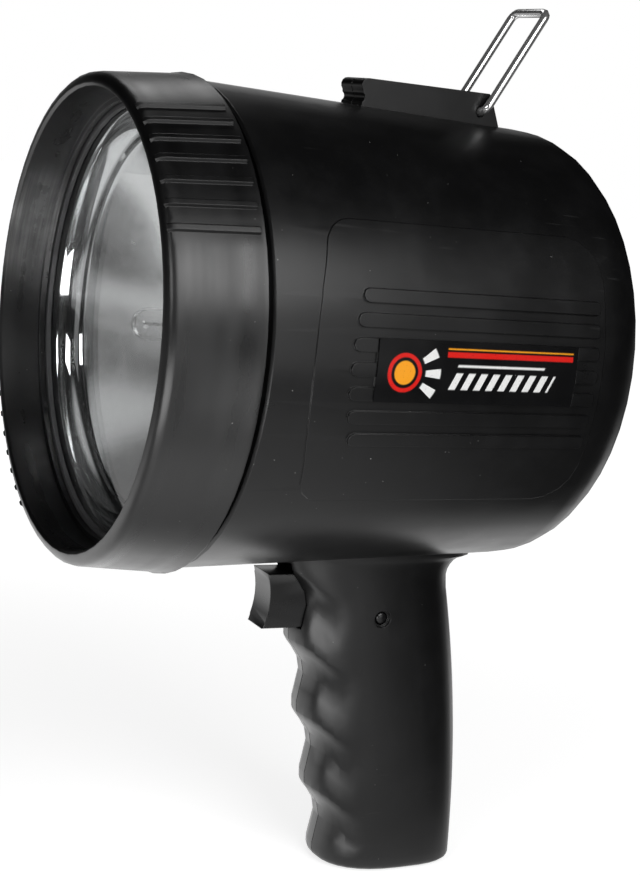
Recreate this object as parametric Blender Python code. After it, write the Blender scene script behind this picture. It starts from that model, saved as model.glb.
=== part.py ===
"""A hand-held rechargeable spotlight with a pistol grip, standing on the foot of its grip.

The lamp's axis runs along Y with the lens facing -Y. Places are written in the lamp's own frame: x from the
seam of the two housing halves, y as the depth behind the front of the bezel, and z from the lamp's axis.
The empty lamp_frame carries every piece, and stands the foot of the grip on z = 0.
"""
from math import asin, atan2, ceil, cos, pi, radians, sin, sqrt, tan

import bmesh
import bpy
from mathutils import Matrix, Vector

MM = 0.001

# Clearances and working allowances
FIT_GAP = 0.3 * MM
RUN_GAP = 0.4 * MM
OVERRUN = 3 * MM
WELD = 0.001 * MM
SEAM_GAP = 0.3 * MM
SHARP_ANGLE = 32

# Whole lamp: its length, the bezel's widest radius and the grip's reach under the drum set the rest
LAMP_LENGTH = 169.5 * MM
BEZEL_BACK_R = 78.1 * MM
GRIP_REACH = 110.1 * MM

# Bezel: hood and lens ring in one
BEZEL_LENGTH = 29.0 * MM
BEZEL_TAPER = 2.1 * MM
BEZEL_FRONT_R = BEZEL_BACK_R - BEZEL_TAPER
BEZEL_WALL = 3.5 * MM
SKIRT_R = BEZEL_BACK_R - BEZEL_WALL
BEZEL_LIP_FILLET = 3.2 * MM
BEZEL_REAR_BEAD = 0.5 * MM
BEZEL_BEAD_LENGTH = 1.4 * MM
LIP_THICK = 4.6 * MM
MOUTH_R = BEZEL_FRONT_R - LIP_THICK
MOUTH_EDGE = 0.8 * MM
HOOD_TAPER = 1.1 * MM
HOOD_BACK_R = MOUTH_R - HOOD_TAPER
HOOD_DEPTH = 13.0 * MM
SHELF_WIDTH = 1.7 * MM
SHELF_R = HOOD_BACK_R - SHELF_WIDTH
SHELF_THICK = 2.0 * MM
BEZEL_STEPS = 60

# Drum: the round body behind the bezel
DRUM_STEP = 1.2 * MM
DRUM_FRONT_R = BEZEL_BACK_R - DRUM_STEP
DRUM_TAPER = 3.6 * MM
DRUM_BACK_R = DRUM_FRONT_R - DRUM_TAPER
DRUM_BACK_FILLET = 18.0 * MM
DRUM_WALL = 2.6 * MM
DRUM_EDGE = 0.8 * MM
DRUM_STEPS = 48
BORE_STEPS = 32
AXIS_HEIGHT = DRUM_FRONT_R + GRIP_REACH

# Neck: the stepped front of the drum that the bezel turns on
NECK_STEP = 2.6 * MM
NECK_R = SKIRT_R - NECK_STEP
NECK_WALL = 2.6 * MM
SHOULDER_GAP = 2.5 * MM
LUG_ANGLES = (45, 135, 225, 315)
LUG_ANGLE = 12.0
LUG_RISE = 2.0 * MM
LUG_THICK = 1.6 * MM
LUG_STOP_ANGLE = 2.0
LUG_RAMP_ANGLE = 0.2
LUG_CLEAR_ANGLE = 0.5

# Grip ridges on the bezel
RIDGES_PER_GROUP = 7
RIDGE_GROUP_ANGLES = (45, 225)
RIDGE_PITCH_ANGLE = 5.7
RIDGE_RISE = 0.8 * MM
RIDGE_FOOT = 3.6 * MM
RIDGE_CREST = 1.6 * MM
RIDGE_SINK = 1.2 * MM
RIDGE_START_ANGLE = 135
RIDGE_END_STEPS = 3

# Lens and its gasket
GASKET_LAP = 1.3 * MM
GASKET_R = SHELF_R - GASKET_LAP
GASKET_THICK = 1.5 * MM
LENS_THICK = 3.0 * MM
LENS_EDGE = 0.6 * MM

# Reflector
REFLECTOR_FLANGE = 2.0 * MM
BAND_INSET = 0.9 * MM
BAND_FRONT_R = GASKET_R - BAND_INSET
BAND_TAPER = 5.6 * MM
BAND_BACK_R = BAND_FRONT_R - BAND_TAPER
BAND_LENGTH = 7.6 * MM
BOWL_LEDGE = 1.2 * MM
BOWL_R = BAND_BACK_R - BOWL_LEDGE
BOWL_STEP = 0.6 * MM
FOCAL_LENGTH = 29.0 * MM
REFLECTOR_WALL = 1.8 * MM
SOCKET_R = 9.0 * MM
SOCKET_LENGTH = 8.0 * MM
REFLECTOR_STEPS = 48
BOWL_STEPS = 7
BOWL_BACK_STEPS = 3

# Bulb and its holder
BULB_TIP_GAP = 1.9 * MM
BULB_R = 5.3 * MM
BULB_GLASS_WALL = 0.9 * MM
BULB_GLASS_LENGTH = 23.0 * MM
BULB_NECK_R = 3.6 * MM
FILAMENT_POST_X = 1.7 * MM
FILAMENT_WIRE_R = 0.3 * MM
FILAMENT_TIP_GAP = 4.5 * MM
BULB_STEM_R = 6.2 * MM
BULB_FLANGE_R = 10.5 * MM
BULB_FLANGE_THICK = 1.2 * MM
BULB_TAIL_R = 4.6 * MM
BULB_TAIL_LENGTH = 9.0 * MM
HOLDER_WALL = 1.8 * MM
HOLDER_LAP = 5.0 * MM
SMALL_STEPS = 16

# Charging board, socket and lamp at the back
BOARD_SIZE = (36.0 * MM, 1.6 * MM, 38.0 * MM)
INNER_BACK = LAMP_LENGTH - DRUM_WALL
STANDOFF_LENGTH = 8.3 * MM
BOARD_DEPTH = INNER_BACK - STANDOFF_LENGTH - BOARD_SIZE[1]
BOARD_LEVEL = 24.0 * MM
STANDOFF_R = 2.4 * MM
STANDOFF_X = 13.0 * MM
STANDOFF_RISE = 14.0 * MM
JACK_LEVEL = 31.0 * MM
JACK_R = 4.0 * MM
JACK_FLANGE_R = 6.0 * MM
JACK_FLANGE_THICK = 1.4 * MM
JACK_HOLE_R = 1.8 * MM
LED_LEVEL = 13.0 * MM
LED_R = 2.4 * MM
LED_FLANGE_R = 3.1 * MM
LED_FLANGE_THICK = 1.0 * MM
RESISTOR_R = 1.6 * MM
RESISTOR_LENGTH = 9.0 * MM
RESISTOR_LEVEL = 20.0 * MM
DIODE_R = 1.3 * MM
DIODE_LENGTH = 5.5 * MM
DIODE_LEVEL = 34.0 * MM

# Rear bulkhead and battery
BATTERY_WIDTH_SHARE = 0.955
BATTERY_HEIGHT_SHARE = 1.3915
BATTERY_LENGTH = 47.0 * MM
BATTERY_SIZE = (DRUM_BACK_R * BATTERY_WIDTH_SHARE, BATTERY_LENGTH, DRUM_BACK_R * BATTERY_HEIGHT_SHARE)
BATTERY_BACK_ROOM = 8.0 * MM
BATTERY_DEPTH = BOARD_DEPTH - BATTERY_BACK_ROOM - BATTERY_LENGTH
BATTERY_EDGE = 2.0 * MM
BATTERY_LID = 8.0 * MM
BATTERY_LID_STEP = 0.8 * MM
TRAY_WALL = 2.0 * MM
TRAY_LENGTH = 30.0 * MM
BULKHEAD_THICK = 2.4 * MM
BULKHEAD_WINDOW_R = 16.0 * MM
BULKHEAD_NOTCH = (22.0 * MM, 9.0 * MM)
PAD_SIZE = (58.0 * MM, 3.0 * MM, 58.0 * MM)
POST_R = 4.0 * MM
POST_PLACES = 24.0 * MM
TERMINAL_SIZE = (6.3 * MM, 0.8 * MM, 7.0 * MM)
TERMINAL_SET = 32.4 * MM
TERMINAL_DEPTH = BATTERY_DEPTH + TERMINAL_SET
TERMINAL_SPREAD = 22.0 * MM

# Rail on top of the drum
RAIL_WIDTH = 14.5 * MM
RAIL_RISE = 6.9 * MM
RAIL_TOP = DRUM_FRONT_R + RAIL_RISE
RAIL_BACK_SET = 28.2 * MM
RAIL_BACK_FOOT = LAMP_LENGTH - RAIL_BACK_SET
RAIL_BACK_SLOPE = 3.9 * MM
RAIL_BACK_TOP = RAIL_BACK_FOOT - RAIL_BACK_SLOPE
RAIL_LENGTH = 53.3 * MM
RAIL_FRONT = RAIL_BACK_FOOT - RAIL_LENGTH
RAIL_LIP_R = 2.3 * MM
RAIL_LIP_ANGLE = 225
RAIL_LIP_STEPS = 6
RAIL_NECK_R = 1.6 * MM
RAIL_NECK_ANGLE = 60
RAIL_NECK_STEPS = 5
RAIL_SINK = 3.3 * MM
RAIL_FOOT = DRUM_BACK_R - RAIL_SINK
RAIL_EDGE = 1.0 * MM

# Wire bail
BAIL_WIRE_R = 1.5 * MM
BAIL_PIVOT_SET = 7.7 * MM
BAIL_PIVOT_DEPTH = RAIL_BACK_FOOT - BAIL_PIVOT_SET
BAIL_PIVOT_DROP = 6.2 * MM
BAIL_PIVOT_HEIGHT = RAIL_TOP - BAIL_PIVOT_DROP
BAIL_SPREAD = 20.0 * MM
BAIL_LENGTH = 39.9 * MM
BAIL_BEND_R = 2.6 * MM
BAIL_LEAN_ANGLE = 29.6
BAIL_FOOT_X = 2.2 * MM
BAIL_HOLE_R = 1.9 * MM

# Side panel, its ribs and the label's pad
PANEL_RISE = 0.5 * MM
PANEL_FRONT = 45.3 * MM
PANEL_BOW = 4.0 * MM
PANEL_FRONT_FILLET = 8.5 * MM
PANEL_BACK_SET = 21.5 * MM
PANEL_BACK = LAMP_LENGTH - PANEL_BACK_SET
PANEL_HEIGHT_SHARE = 0.57
PANEL_HALF_HEIGHT = DRUM_BACK_R * PANEL_HEIGHT_SHARE
PANEL_BACK_FILLET = 12.0 * MM
PANEL_BOW_STEPS = 3
PANEL_FILLET_STEPS = 5
RIB_COUNT = 7
RIB_PITCH_ANGLE = 5.6
RIB_THICK = 4.1 * MM
RIB_RISE = 1.4 * MM
RIB_FRONT_SET = 11.6 * MM
RIB_OUTER_LAG = 3.2 * MM
RIB_BACK_SET = 2.6 * MM
RIB_BACK_FILLET = 1.0 * MM
RIB_END_STEPS = 5
PAD_RISE = 1.0 * MM
LABEL_FRONT_SET = 20.1 * MM
LABEL_FRONT = PANEL_FRONT + LABEL_FRONT_SET
LABEL_BACK_SET = 11.2 * MM
LABEL_BACK = PANEL_BACK - LABEL_BACK_SET
LABEL_HEIGHT = 18.6 * MM
LABEL_THICK = 0.4 * MM

# Pistol grip: levels are measured down from the lamp's axis
GRIP_TOP_GAP = 2.1 * MM
GRIP_TOP_LEVEL = DRUM_FRONT_R + GRIP_TOP_GAP
GRIP_PITCH = 26.6 * MM
GRIP_FIRST_CUSP_LEVEL = GRIP_TOP_LEVEL + GRIP_PITCH
GRIP_FIRST_CUSP_SET = 81.8 * MM
GRIP_FIRST_CUSP_DEPTH = LAMP_LENGTH - GRIP_FIRST_CUSP_SET
GRIP_RAKE_ANGLE = 13.4
GRIP_SCALLOP = 4.5 * MM
GRIP_DIMPLE = 3.4 * MM
GRIP_LIP_DROP = 6.8 * MM
GRIP_DROP_FADE = 18.0 * MM
GRIP_BACK_TOP_SET = 27.5 * MM
GRIP_BACK_TOP = LAMP_LENGTH - GRIP_BACK_TOP_SET
GRIP_BACK_RAKE = 16.6 * MM
GRIP_BACK_BULGE = 3.4 * MM
GRIP_WIDTH = 35.5 * MM
GRIP_FOOT_EDGE = 2.6 * MM
GRIP_ROOT_FLARE = 11.0 * MM
GRIP_SIDE_FLARE = 4.0 * MM
GRIP_ROOT_SINK = 9.3 * MM
GRIP_ROOT = DRUM_BACK_R - GRIP_ROOT_SINK
GRIP_WALL = 2.5 * MM
GRIP_FLOOR = 3.2 * MM
GRIP_STEPS = 32
GRIP_ROOM_STEPS = 20
GRIP_ROOM_LEVELS = 4
GRIP_ROOT_SHARES = (0.25, 0.35, 0.42, 0.48, 0.52, 0.56, 1.0)
GRIP_ROW_SHARES = (0.0, 0.07, 0.16, 0.3, 0.48, 0.68, 0.86)
GRIP_WAVE_SHARE = 0.75
GRIP_FRONT_POWER = 2.4
GRIP_BACK_POWER = 3.2
SCALLOP_SPAN_SHARE = 0.5
DIMPLE_PLACE_SHARE = 0.74
DIMPLE_SPAN_SHARE = 0.3
DROP_SPAN_SHARE = 0.4

# Trigger
TRIGGER_WIDTH = 12.0 * MM
TRIGGER_SET = 13.4 * MM
TRIGGER_FRONT = GRIP_FIRST_CUSP_DEPTH - TRIGGER_SET
TRIGGER_TOP_GAP = 1.9 * MM
TRIGGER_TOP = GRIP_TOP_LEVEL + TRIGGER_TOP_GAP
TRIGGER_HEIGHT = 19.2 * MM
TRIGGER_FOOT = TRIGGER_TOP + TRIGGER_HEIGHT
TRIGGER_HOLLOW = 1.8 * MM
TRIGGER_HOLLOW_STEPS = 9
TRIGGER_BODY_LENGTH = 24.7 * MM
TRIGGER_BACK = TRIGGER_FRONT + TRIGGER_BODY_LENGTH
TRIGGER_COLLAR_WIDTH = 15.4 * MM
TRIGGER_COLLAR_SET = 22.5 * MM
TRIGGER_COLLAR_DEPTH = TRIGGER_FRONT + TRIGGER_COLLAR_SET
TRIGGER_COLLAR_THICK = 1.8 * MM
TRIGGER_TAIL_WIDTH = 6.0 * MM
TRIGGER_TAIL_DROP = 10.7 * MM
TRIGGER_TAIL_TOP = TRIGGER_TOP + TRIGGER_TAIL_DROP
TRIGGER_TAIL_HEIGHT = 5.6 * MM
TRIGGER_TAIL_FOOT = TRIGGER_TAIL_TOP + TRIGGER_TAIL_HEIGHT
TRIGGER_TAIL_LENGTH = 7.0 * MM
TRIGGER_TAIL_BACK = TRIGGER_BACK + TRIGGER_TAIL_LENGTH
TRIGGER_EDGE = 0.6 * MM
SLOT_TOP_GAP = 1.6 * MM
SLOT_TOP = GRIP_TOP_LEVEL - SLOT_TOP_GAP

# Switch, its plunger and the return spring
SWITCH_SIZE = (16.0 * MM, 14.0 * MM, 11.5 * MM)
SWITCH_SET = 15.0 * MM
SWITCH_FRONT = TRIGGER_BACK + SWITCH_SET
SWITCH_DROP = 4.7 * MM
SWITCH_AXIS = TRIGGER_TOP + SWITCH_DROP
SWITCH_BORE_R = 2.4 * MM
SWITCH_BORE_DEPTH = 9.0 * MM
PLUNGER_R = 2.0 * MM
PLUNGER_INSERT = 3.0 * MM
SWITCH_LEG_SIZE = (3.0 * MM, 6.0 * MM, 0.8 * MM)
SWITCH_LEG_X = 5.0 * MM
SWITCH_RIB_THICK = 2.0 * MM
SPRING_R = 3.8 * MM
SPRING_WIRE_R = 0.4 * MM
SPRING_TURNS = 6
SPRING_STEPS = 8

# Lock pin across the grip
PIN_SET = 14.6 * MM
PIN_DEPTH = TRIGGER_BACK + PIN_SET
PIN_DROP = 13.4 * MM
PIN_LEVEL = TRIGGER_TOP + PIN_DROP
PIN_R = 2.0 * MM
PIN_RECESS_R = 3.15 * MM
PIN_RECESS_DEPTH = 1.2 * MM
PIN_SINK = 0.9 * MM
PIN_TRAVEL = 4.0 * MM
PIN_COLLAR_R = 3.0 * MM
PIN_COLLAR_X = 8.4 * MM
PIN_COLLAR_THICK = 2.0 * MM
PIN_EDGE = 0.4 * MM

# Housing screws: depth and height of each
DRUM_SCREW_FRONT_SET = 13.5 * MM
DRUM_SCREW_BACK_SET = 27.5 * MM
DRUM_SCREW_INSET = 13.3 * MM
GRIP_SCREW_UPPER_SET = (34.5 * MM, 77.0 * MM)
GRIP_SCREW_LOWER_SET = (32.5 * MM, 15.0 * MM)
BOSS_R = 4.9 * MM
SCREW_HEAD_R = 2.9 * MM
SCREW_HEAD_THICK = 2.0 * MM
SCREW_SHANK_R = 1.45 * MM
SCREW_SEAT_X = 7.0 * MM
SCREW_LENGTH = 18.0 * MM
SCREW_EDGE = 0.5 * MM
SCREW_STEPS = 10
BOSS_STEPS = 12
POST_STEPS = 8

# Wires inside
WIRE_R = 1.1 * MM


# Shared tools


def clear_scene():
    for old in list(bpy.data.objects):
        bpy.data.objects.remove(old)


def material(name, colour, roughness, metallic=0.0, transmission=0.0):
    """A Principled material, made once for each name."""
    made = bpy.data.materials.get(name)
    if made is None:
        made = bpy.data.materials.new(name)
        made.use_nodes = True
        shader = made.node_tree.nodes["Principled BSDF"]
        shader.inputs["Base Color"].default_value = (*colour, 1.0)
        shader.inputs["Roughness"].default_value = roughness
        shader.inputs["Metallic"].default_value = metallic
        shader.inputs["Transmission Weight"].default_value = transmission
    return made


def as_object(name, bm, finish=None, joint=(0.0, 0.0, 0.0)):
    """Closes a bmesh into a smooth-shaded object in the lamp's frame, with its origin at joint."""
    bmesh.ops.recalc_face_normals(bm, faces=bm.faces)
    bmesh.ops.translate(bm, verts=bm.verts, vec=-Vector(joint))
    mesh = bpy.data.meshes.new(name)
    bm.to_mesh(mesh)
    bm.free()
    made = bpy.data.objects.new(name, mesh)
    made.location = joint
    bpy.context.scene.collection.objects.link(made)
    if finish:
        dress(made, finish)
    return made


def dress(made, finish):
    """Gives an object its one material, smooth shading and its place on the lamp."""
    made.data.materials.clear()
    made.data.materials.append(finish)
    made.data.shade_smooth()
    made.data.set_sharp_from_angle(angle=radians(SHARP_ANGLE))
    made.parent = bpy.data.objects["lamp_frame"]
    return made


def tidy(mesh):
    """Welds the near-duplicate points that a Boolean leaves and splits its faces into triangles."""
    bm = bmesh.new()
    bm.from_mesh(mesh)
    bmesh.ops.triangulate(bm, faces=bm.faces)
    bmesh.ops.remove_doubles(bm, verts=bm.verts, dist=WELD)
    bmesh.ops.dissolve_degenerate(bm, edges=bm.edges, dist=WELD)
    bmesh.ops.triangulate(bm, faces=bm.faces)
    bm.to_mesh(mesh)
    bm.free()


def combine(target, tools, operation):
    """Applies one Boolean of target with all the tools at once, and removes the tools."""
    group = bpy.data.collections.new("tools")
    bpy.context.scene.collection.children.link(group)
    for tool in tools:
        bpy.context.scene.collection.objects.unlink(tool)
        group.objects.link(tool)
    modifier = target.modifiers.new("combine", "BOOLEAN")
    modifier.operation = operation
    modifier.solver = "EXACT"
    modifier.operand_type = "COLLECTION"
    modifier.collection = group
    bpy.context.view_layer.update()
    graph = bpy.context.evaluated_depsgraph_get()
    result = bpy.data.meshes.new_from_object(target.evaluated_get(graph))
    target.modifiers.clear()
    tidy(result)
    old = target.data
    target.data = result
    bpy.data.meshes.remove(old)
    for tool in tools:
        bpy.data.objects.remove(tool)
    bpy.data.collections.remove(group)
    return target


def join(target, *tools):
    return combine(target, tools, "UNION")


def cut(target, *tools):
    return combine(target, tools, "DIFFERENCE")


def copied(source):
    made = source.copy()
    made.data = source.data.copy()
    bpy.context.scene.collection.objects.link(made)
    return made


def turned(profile, steps, axis="Y", centre=(0.0, 0.0, 0.0)):
    """A bmesh turned about a line through centre from a closed run of (along, radius) points."""
    bm = bmesh.new()
    verts = [bm.verts.new((radius, along, 0.0)) for along, radius in profile]
    edges = []
    for start, end in zip(verts, verts[1:] + verts[:1]):
        if start.co.x > WELD or end.co.x > WELD:
            edges.append(bm.edges.new((start, end)))
    bmesh.ops.spin(
        bm, geom=verts + edges, cent=(0, 0, 0), axis=(0, 1, 0), dvec=(0, 0, 0),
        angle=2 * pi, steps=steps, use_merge=True, use_duplicate=False,
    )
    bmesh.ops.remove_doubles(bm, verts=bm.verts, dist=WELD)
    if axis == "X":
        bmesh.ops.rotate(bm, verts=bm.verts, cent=(0, 0, 0), matrix=Matrix.Rotation(-pi / 2, 3, "Z"))
    bmesh.ops.translate(bm, verts=bm.verts, vec=centre)
    return bm


def lofted(sections):
    """A bmesh through closed loops with equally many points, with flat ends."""
    bm = bmesh.new()
    loops = [[bm.verts.new(point) for point in section] for section in sections]
    for lower, upper in zip(loops, loops[1:]):
        for i in range(len(lower)):
            j = (i + 1) % len(lower)
            bm.faces.new((lower[i], lower[j], upper[j], upper[i]))
    bm.faces.new(loops[0][::-1])
    bm.faces.new(loops[-1])
    return bm


def slab(outline, left, right):
    """A bmesh prism between x = left and x = right from an outline of (depth, height) points."""
    return lofted([[(x, depth, height) for depth, height in outline] for x in (left, right)])


def block(low, high):
    """A box between two corners."""
    outline = [(low[1], low[2]), (high[1], low[2]), (high[1], high[2]), (low[1], high[2])]
    return slab(outline, low[0], high[0])


def rod(radius, start, end, place, axis="X", steps=BOSS_STEPS):
    """A plain cylinder along X or Y from start to end, whose line passes through place."""
    return turned([(start, 0.0), (start, radius), (end, radius), (end, 0.0)], steps, axis, place)


def arc(centre, radius, start, end, points):
    """Points of an arc in a plane, with angles in degrees."""
    turns = [radians(start + (end - start) * i / (points - 1)) for i in range(points)]
    return [(centre[0] + radius * cos(t), centre[1] + radius * sin(t)) for t in turns]


def tube(name, points, radius, finish, joint=(0.0, 0.0, 0.0), sides_level=2):
    """A round wire along points, kept as a curve with filled ends."""
    curve = bpy.data.curves.new(name, "CURVE")
    curve.dimensions = "3D"
    curve.bevel_depth = radius
    curve.bevel_resolution = sides_level
    curve.use_fill_caps = True
    spline = curve.splines.new("POLY")
    spline.points.add(len(points) - 1)
    for knot, point in zip(spline.points, points):
        knot.co = (*(Vector(point) - Vector(joint)), 1.0)
    made = bpy.data.objects.new(name, curve)
    made.location = joint
    bpy.context.scene.collection.objects.link(made)
    curve.materials.append(finish)
    made.parent = bpy.data.objects["lamp_frame"]
    return made


def smooth_step(share):
    share = min(1.0, max(0.0, share))
    return share * share * (3 - 2 * share)


# Sizes that several pieces share


def drum_r(depth):
    """Outer radius of the drum, which narrows evenly from its shoulder to its back fillet."""
    start, end = DRUM_START, LAMP_LENGTH - DRUM_BACK_FILLET
    return DRUM_FRONT_R + (DRUM_BACK_R - DRUM_FRONT_R) * (depth - start) / (end - start)


def bowl_depth(radius):
    """Depth of the reflecting bowl at one radius: a paraboloid."""
    return BOWL_FRONT + (BOWL_R ** 2 - radius ** 2) / (4 * FOCAL_LENGTH)


def screw_places():
    """Depth and height of each housing screw."""
    height = DRUM_BACK_R - DRUM_SCREW_INSET
    rows = [(DRUM_START + DRUM_SCREW_FRONT_SET, height), (LAMP_LENGTH - DRUM_SCREW_BACK_SET, height)]
    rows += [(depth, -height) for depth, height in rows]
    for back_set, foot_set in (GRIP_SCREW_UPPER_SET, GRIP_SCREW_LOWER_SET):
        rows.append((LAMP_LENGTH - back_set, foot_set - AXIS_HEIGHT))
    return rows


DRUM_START = BEZEL_LENGTH + SHOULDER_GAP
GASKET_FRONT = HOOD_DEPTH + SHELF_THICK + FIT_GAP
LENS_FRONT = GASKET_FRONT + GASKET_THICK + FIT_GAP
FLANGE_FRONT = LENS_FRONT + LENS_THICK + FIT_GAP
NECK_FRONT = FLANGE_FRONT + REFLECTOR_FLANGE + FIT_GAP
BOWL_FRONT = FLANGE_FRONT + BAND_LENGTH + BOWL_STEP
SOCKET_BACK = bowl_depth(SOCKET_R) + SOCKET_LENGTH
BULB_TIP = LENS_FRONT + LENS_THICK + BULB_TIP_GAP
BULB_GLASS_BACK = BULB_TIP + BULB_GLASS_LENGTH
BULB_FLANGE_DEPTH = SOCKET_BACK + FIT_GAP
BULB_TAIL_BACK = BULB_FLANGE_DEPTH + BULB_FLANGE_THICK + BULB_TAIL_LENGTH
LUG_FRONT = NECK_FRONT + LUG_THICK
BEZEL_LUG_FRONT = LUG_FRONT + LUG_THICK + RUN_GAP
BATTERY_BACK = BATTERY_DEPTH + BATTERY_SIZE[1]


# Housing


def drum_outer():
    """The drum and its neck as one solid turned form."""
    fillet_end = LAMP_LENGTH - DRUM_BACK_FILLET
    back_fillet = arc((fillet_end, DRUM_BACK_R - DRUM_BACK_FILLET), DRUM_BACK_FILLET, 90, 0, 7)
    profile = [(NECK_FRONT, 0.0), (NECK_FRONT, NECK_R), (DRUM_START, NECK_R)]
    profile += [(DRUM_START, DRUM_FRONT_R - DRUM_EDGE), (DRUM_START + DRUM_EDGE, DRUM_FRONT_R)]
    profile += back_fillet + [(LAMP_LENGTH, 0.0)]
    return as_object("drum_outer", turned(profile, DRUM_STEPS))


def drum_inner():
    """The room inside the drum, open at the front of the neck."""
    neck_bore = NECK_R - NECK_WALL
    fillet_r = DRUM_BACK_FILLET - DRUM_WALL
    fillet_end = LAMP_LENGTH - DRUM_BACK_FILLET
    back_fillet = arc((fillet_end, DRUM_BACK_R - DRUM_BACK_FILLET), fillet_r, 90, 0, 4)
    front = NECK_FRONT - OVERRUN
    profile = [(front, 0.0), (front, neck_bore), (DRUM_START + DRUM_WALL, neck_bore)]
    profile += [(DRUM_START + DRUM_WALL, DRUM_FRONT_R - DRUM_WALL)]
    profile += back_fillet + [(INNER_BACK, 0.0)]
    return as_object("drum_inner", turned(profile, BORE_STEPS))


def grip_cusp_line(level):
    """Depth of the line over the crests between the fingers."""
    return GRIP_FIRST_CUSP_DEPTH + (level - GRIP_FIRST_CUSP_LEVEL) * tan(radians(GRIP_RAKE_ANGLE))


def grip_back(level):
    share = (level - GRIP_TOP_LEVEL) / (AXIS_HEIGHT - GRIP_TOP_LEVEL)
    return GRIP_BACK_TOP + GRIP_BACK_RAKE * share + 4 * GRIP_BACK_BULGE * share * (1 - share)


def finger_wave(level):
    """0 on a lip between two fingers, rising fast under it to 1 and easing back to the next lip."""
    share = (level - GRIP_FIRST_CUSP_LEVEL) / GRIP_PITCH % 1.0
    return sin(pi * share ** GRIP_WAVE_SHARE) ** 2


def root_flare(level, root, radius):
    """The hollow fillet where the grip meets the drum's surface, which lies at the level root."""
    share = min(1.0, max(0.0, (root + radius - level) / radius))
    return radius * (1 - sqrt(1 - share ** 2))


def power_oval(count, front_power, back_power):
    """Unit outline from the front round by +x: blunt in front, squarer behind."""
    points = []
    for i in range(count):
        turn = 2 * pi * i / count
        along, across = -cos(turn), sin(turn)
        power = front_power if along < 0 else back_power
        y = abs(along) ** (2 / power) * (-1 if along < 0 else 1)
        x = abs(across) ** (2 / power) * (-1 if across < 0 else 1)
        points.append((x, y))
    return points


def grip_section(row, wave, inset=0.0):
    """One closed outline of the grip, grooved for the fingers in front and dimpled on both sides.

    It follows the lips between the fingers, which run down on the sides."""
    foot_share = (AXIS_HEIGHT - GRIP_FOOT_EDGE - row) / GRIP_DROP_FADE
    root_share = (row - GRIP_ROOT) / (GRIP_TOP_LEVEL - GRIP_ROOT)
    drop = GRIP_LIP_DROP * smooth_step(foot_share) * smooth_step(root_share)
    half_width = GRIP_WIDTH / 2 - inset
    points = []
    for x, y in power_oval(GRIP_STEPS, GRIP_FRONT_POWER, GRIP_BACK_POWER):
        level = row + drop * smooth_step((1 + y) / DROP_SPAN_SHARE)
        front, back = grip_cusp_line(level) + inset, grip_back(level) - inset
        middle, half_depth = (front + back) / 2, (back - front) / 2
        hollow = GRIP_SCALLOP * wave * smooth_step((-y - SCALLOP_SPAN_SHARE) / SCALLOP_SPAN_SHARE)
        off_dimple = min(1.0, abs(y + DIMPLE_PLACE_SHARE) / DIMPLE_SPAN_SHARE)
        dent = GRIP_DIMPLE * wave * cos(pi / 2 * off_dimple) ** 2
        flare = root_flare(level, drum_r(GRIP_BACK_TOP), GRIP_ROOT_FLARE) * smooth_step(y)
        depth = middle + y * half_depth + hollow + flare
        side_root = sqrt(drum_r(depth) ** 2 - half_width ** 2)
        spread = root_flare(level, side_root, GRIP_SIDE_FLARE) * smooth_step(1 + y)
        points.append((x * (half_width - dent + spread), depth, -level))
    return points


def grip_outer():
    """Rows from the foot up to the root inside the drum, close together under each lip."""
    sections = []
    for turn in (0, 30, 60):
        inset = GRIP_FOOT_EDGE * (1 - sin(radians(turn)))
        sections.append(grip_section(AXIS_HEIGHT - GRIP_FOOT_EDGE * (1 - cos(radians(turn))), 0.0, inset))
    start = AXIS_HEIGHT - GRIP_FOOT_EDGE
    rows = [start]
    count = ceil((start - GRIP_TOP_LEVEL) / GRIP_PITCH)
    for i in range(count, 0, -1):
        rows += [GRIP_TOP_LEVEL + (i - 1 + share) * GRIP_PITCH for share in GRIP_ROW_SHARES[::-1]]
    rows = [row for row in rows if row == start or row < start - FIT_GAP]
    sections += [grip_section(row, finger_wave(row)) for row in rows]
    for share in GRIP_ROOT_SHARES:
        row = GRIP_TOP_LEVEL + (GRIP_ROOT - GRIP_TOP_LEVEL) * share
        sections.append(grip_section(row, 0.0))
    return as_object("grip_outer", lofted(sections))


def grip_inner():
    """The plain room inside the grip, which opens into the drum."""
    floor = AXIS_HEIGHT - GRIP_FLOOR
    top = GRIP_ROOT - DRUM_WALL
    sections = []
    for i in range(GRIP_ROOM_LEVELS):
        level = floor + (top - floor) * i / (GRIP_ROOM_LEVELS - 1)
        front = grip_cusp_line(level) + GRIP_SCALLOP + GRIP_WALL
        back = grip_back(level) - GRIP_WALL
        middle, half_depth = (front + back) / 2, (back - front) / 2
        half_width = GRIP_WIDTH / 2 - GRIP_WALL
        oval = power_oval(GRIP_ROOM_STEPS, GRIP_FRONT_POWER, GRIP_BACK_POWER)
        sections.append([(x * half_width, middle + y * half_depth, -level) for x, y in oval])
    return as_object("grip_inner", lofted(sections))


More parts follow.
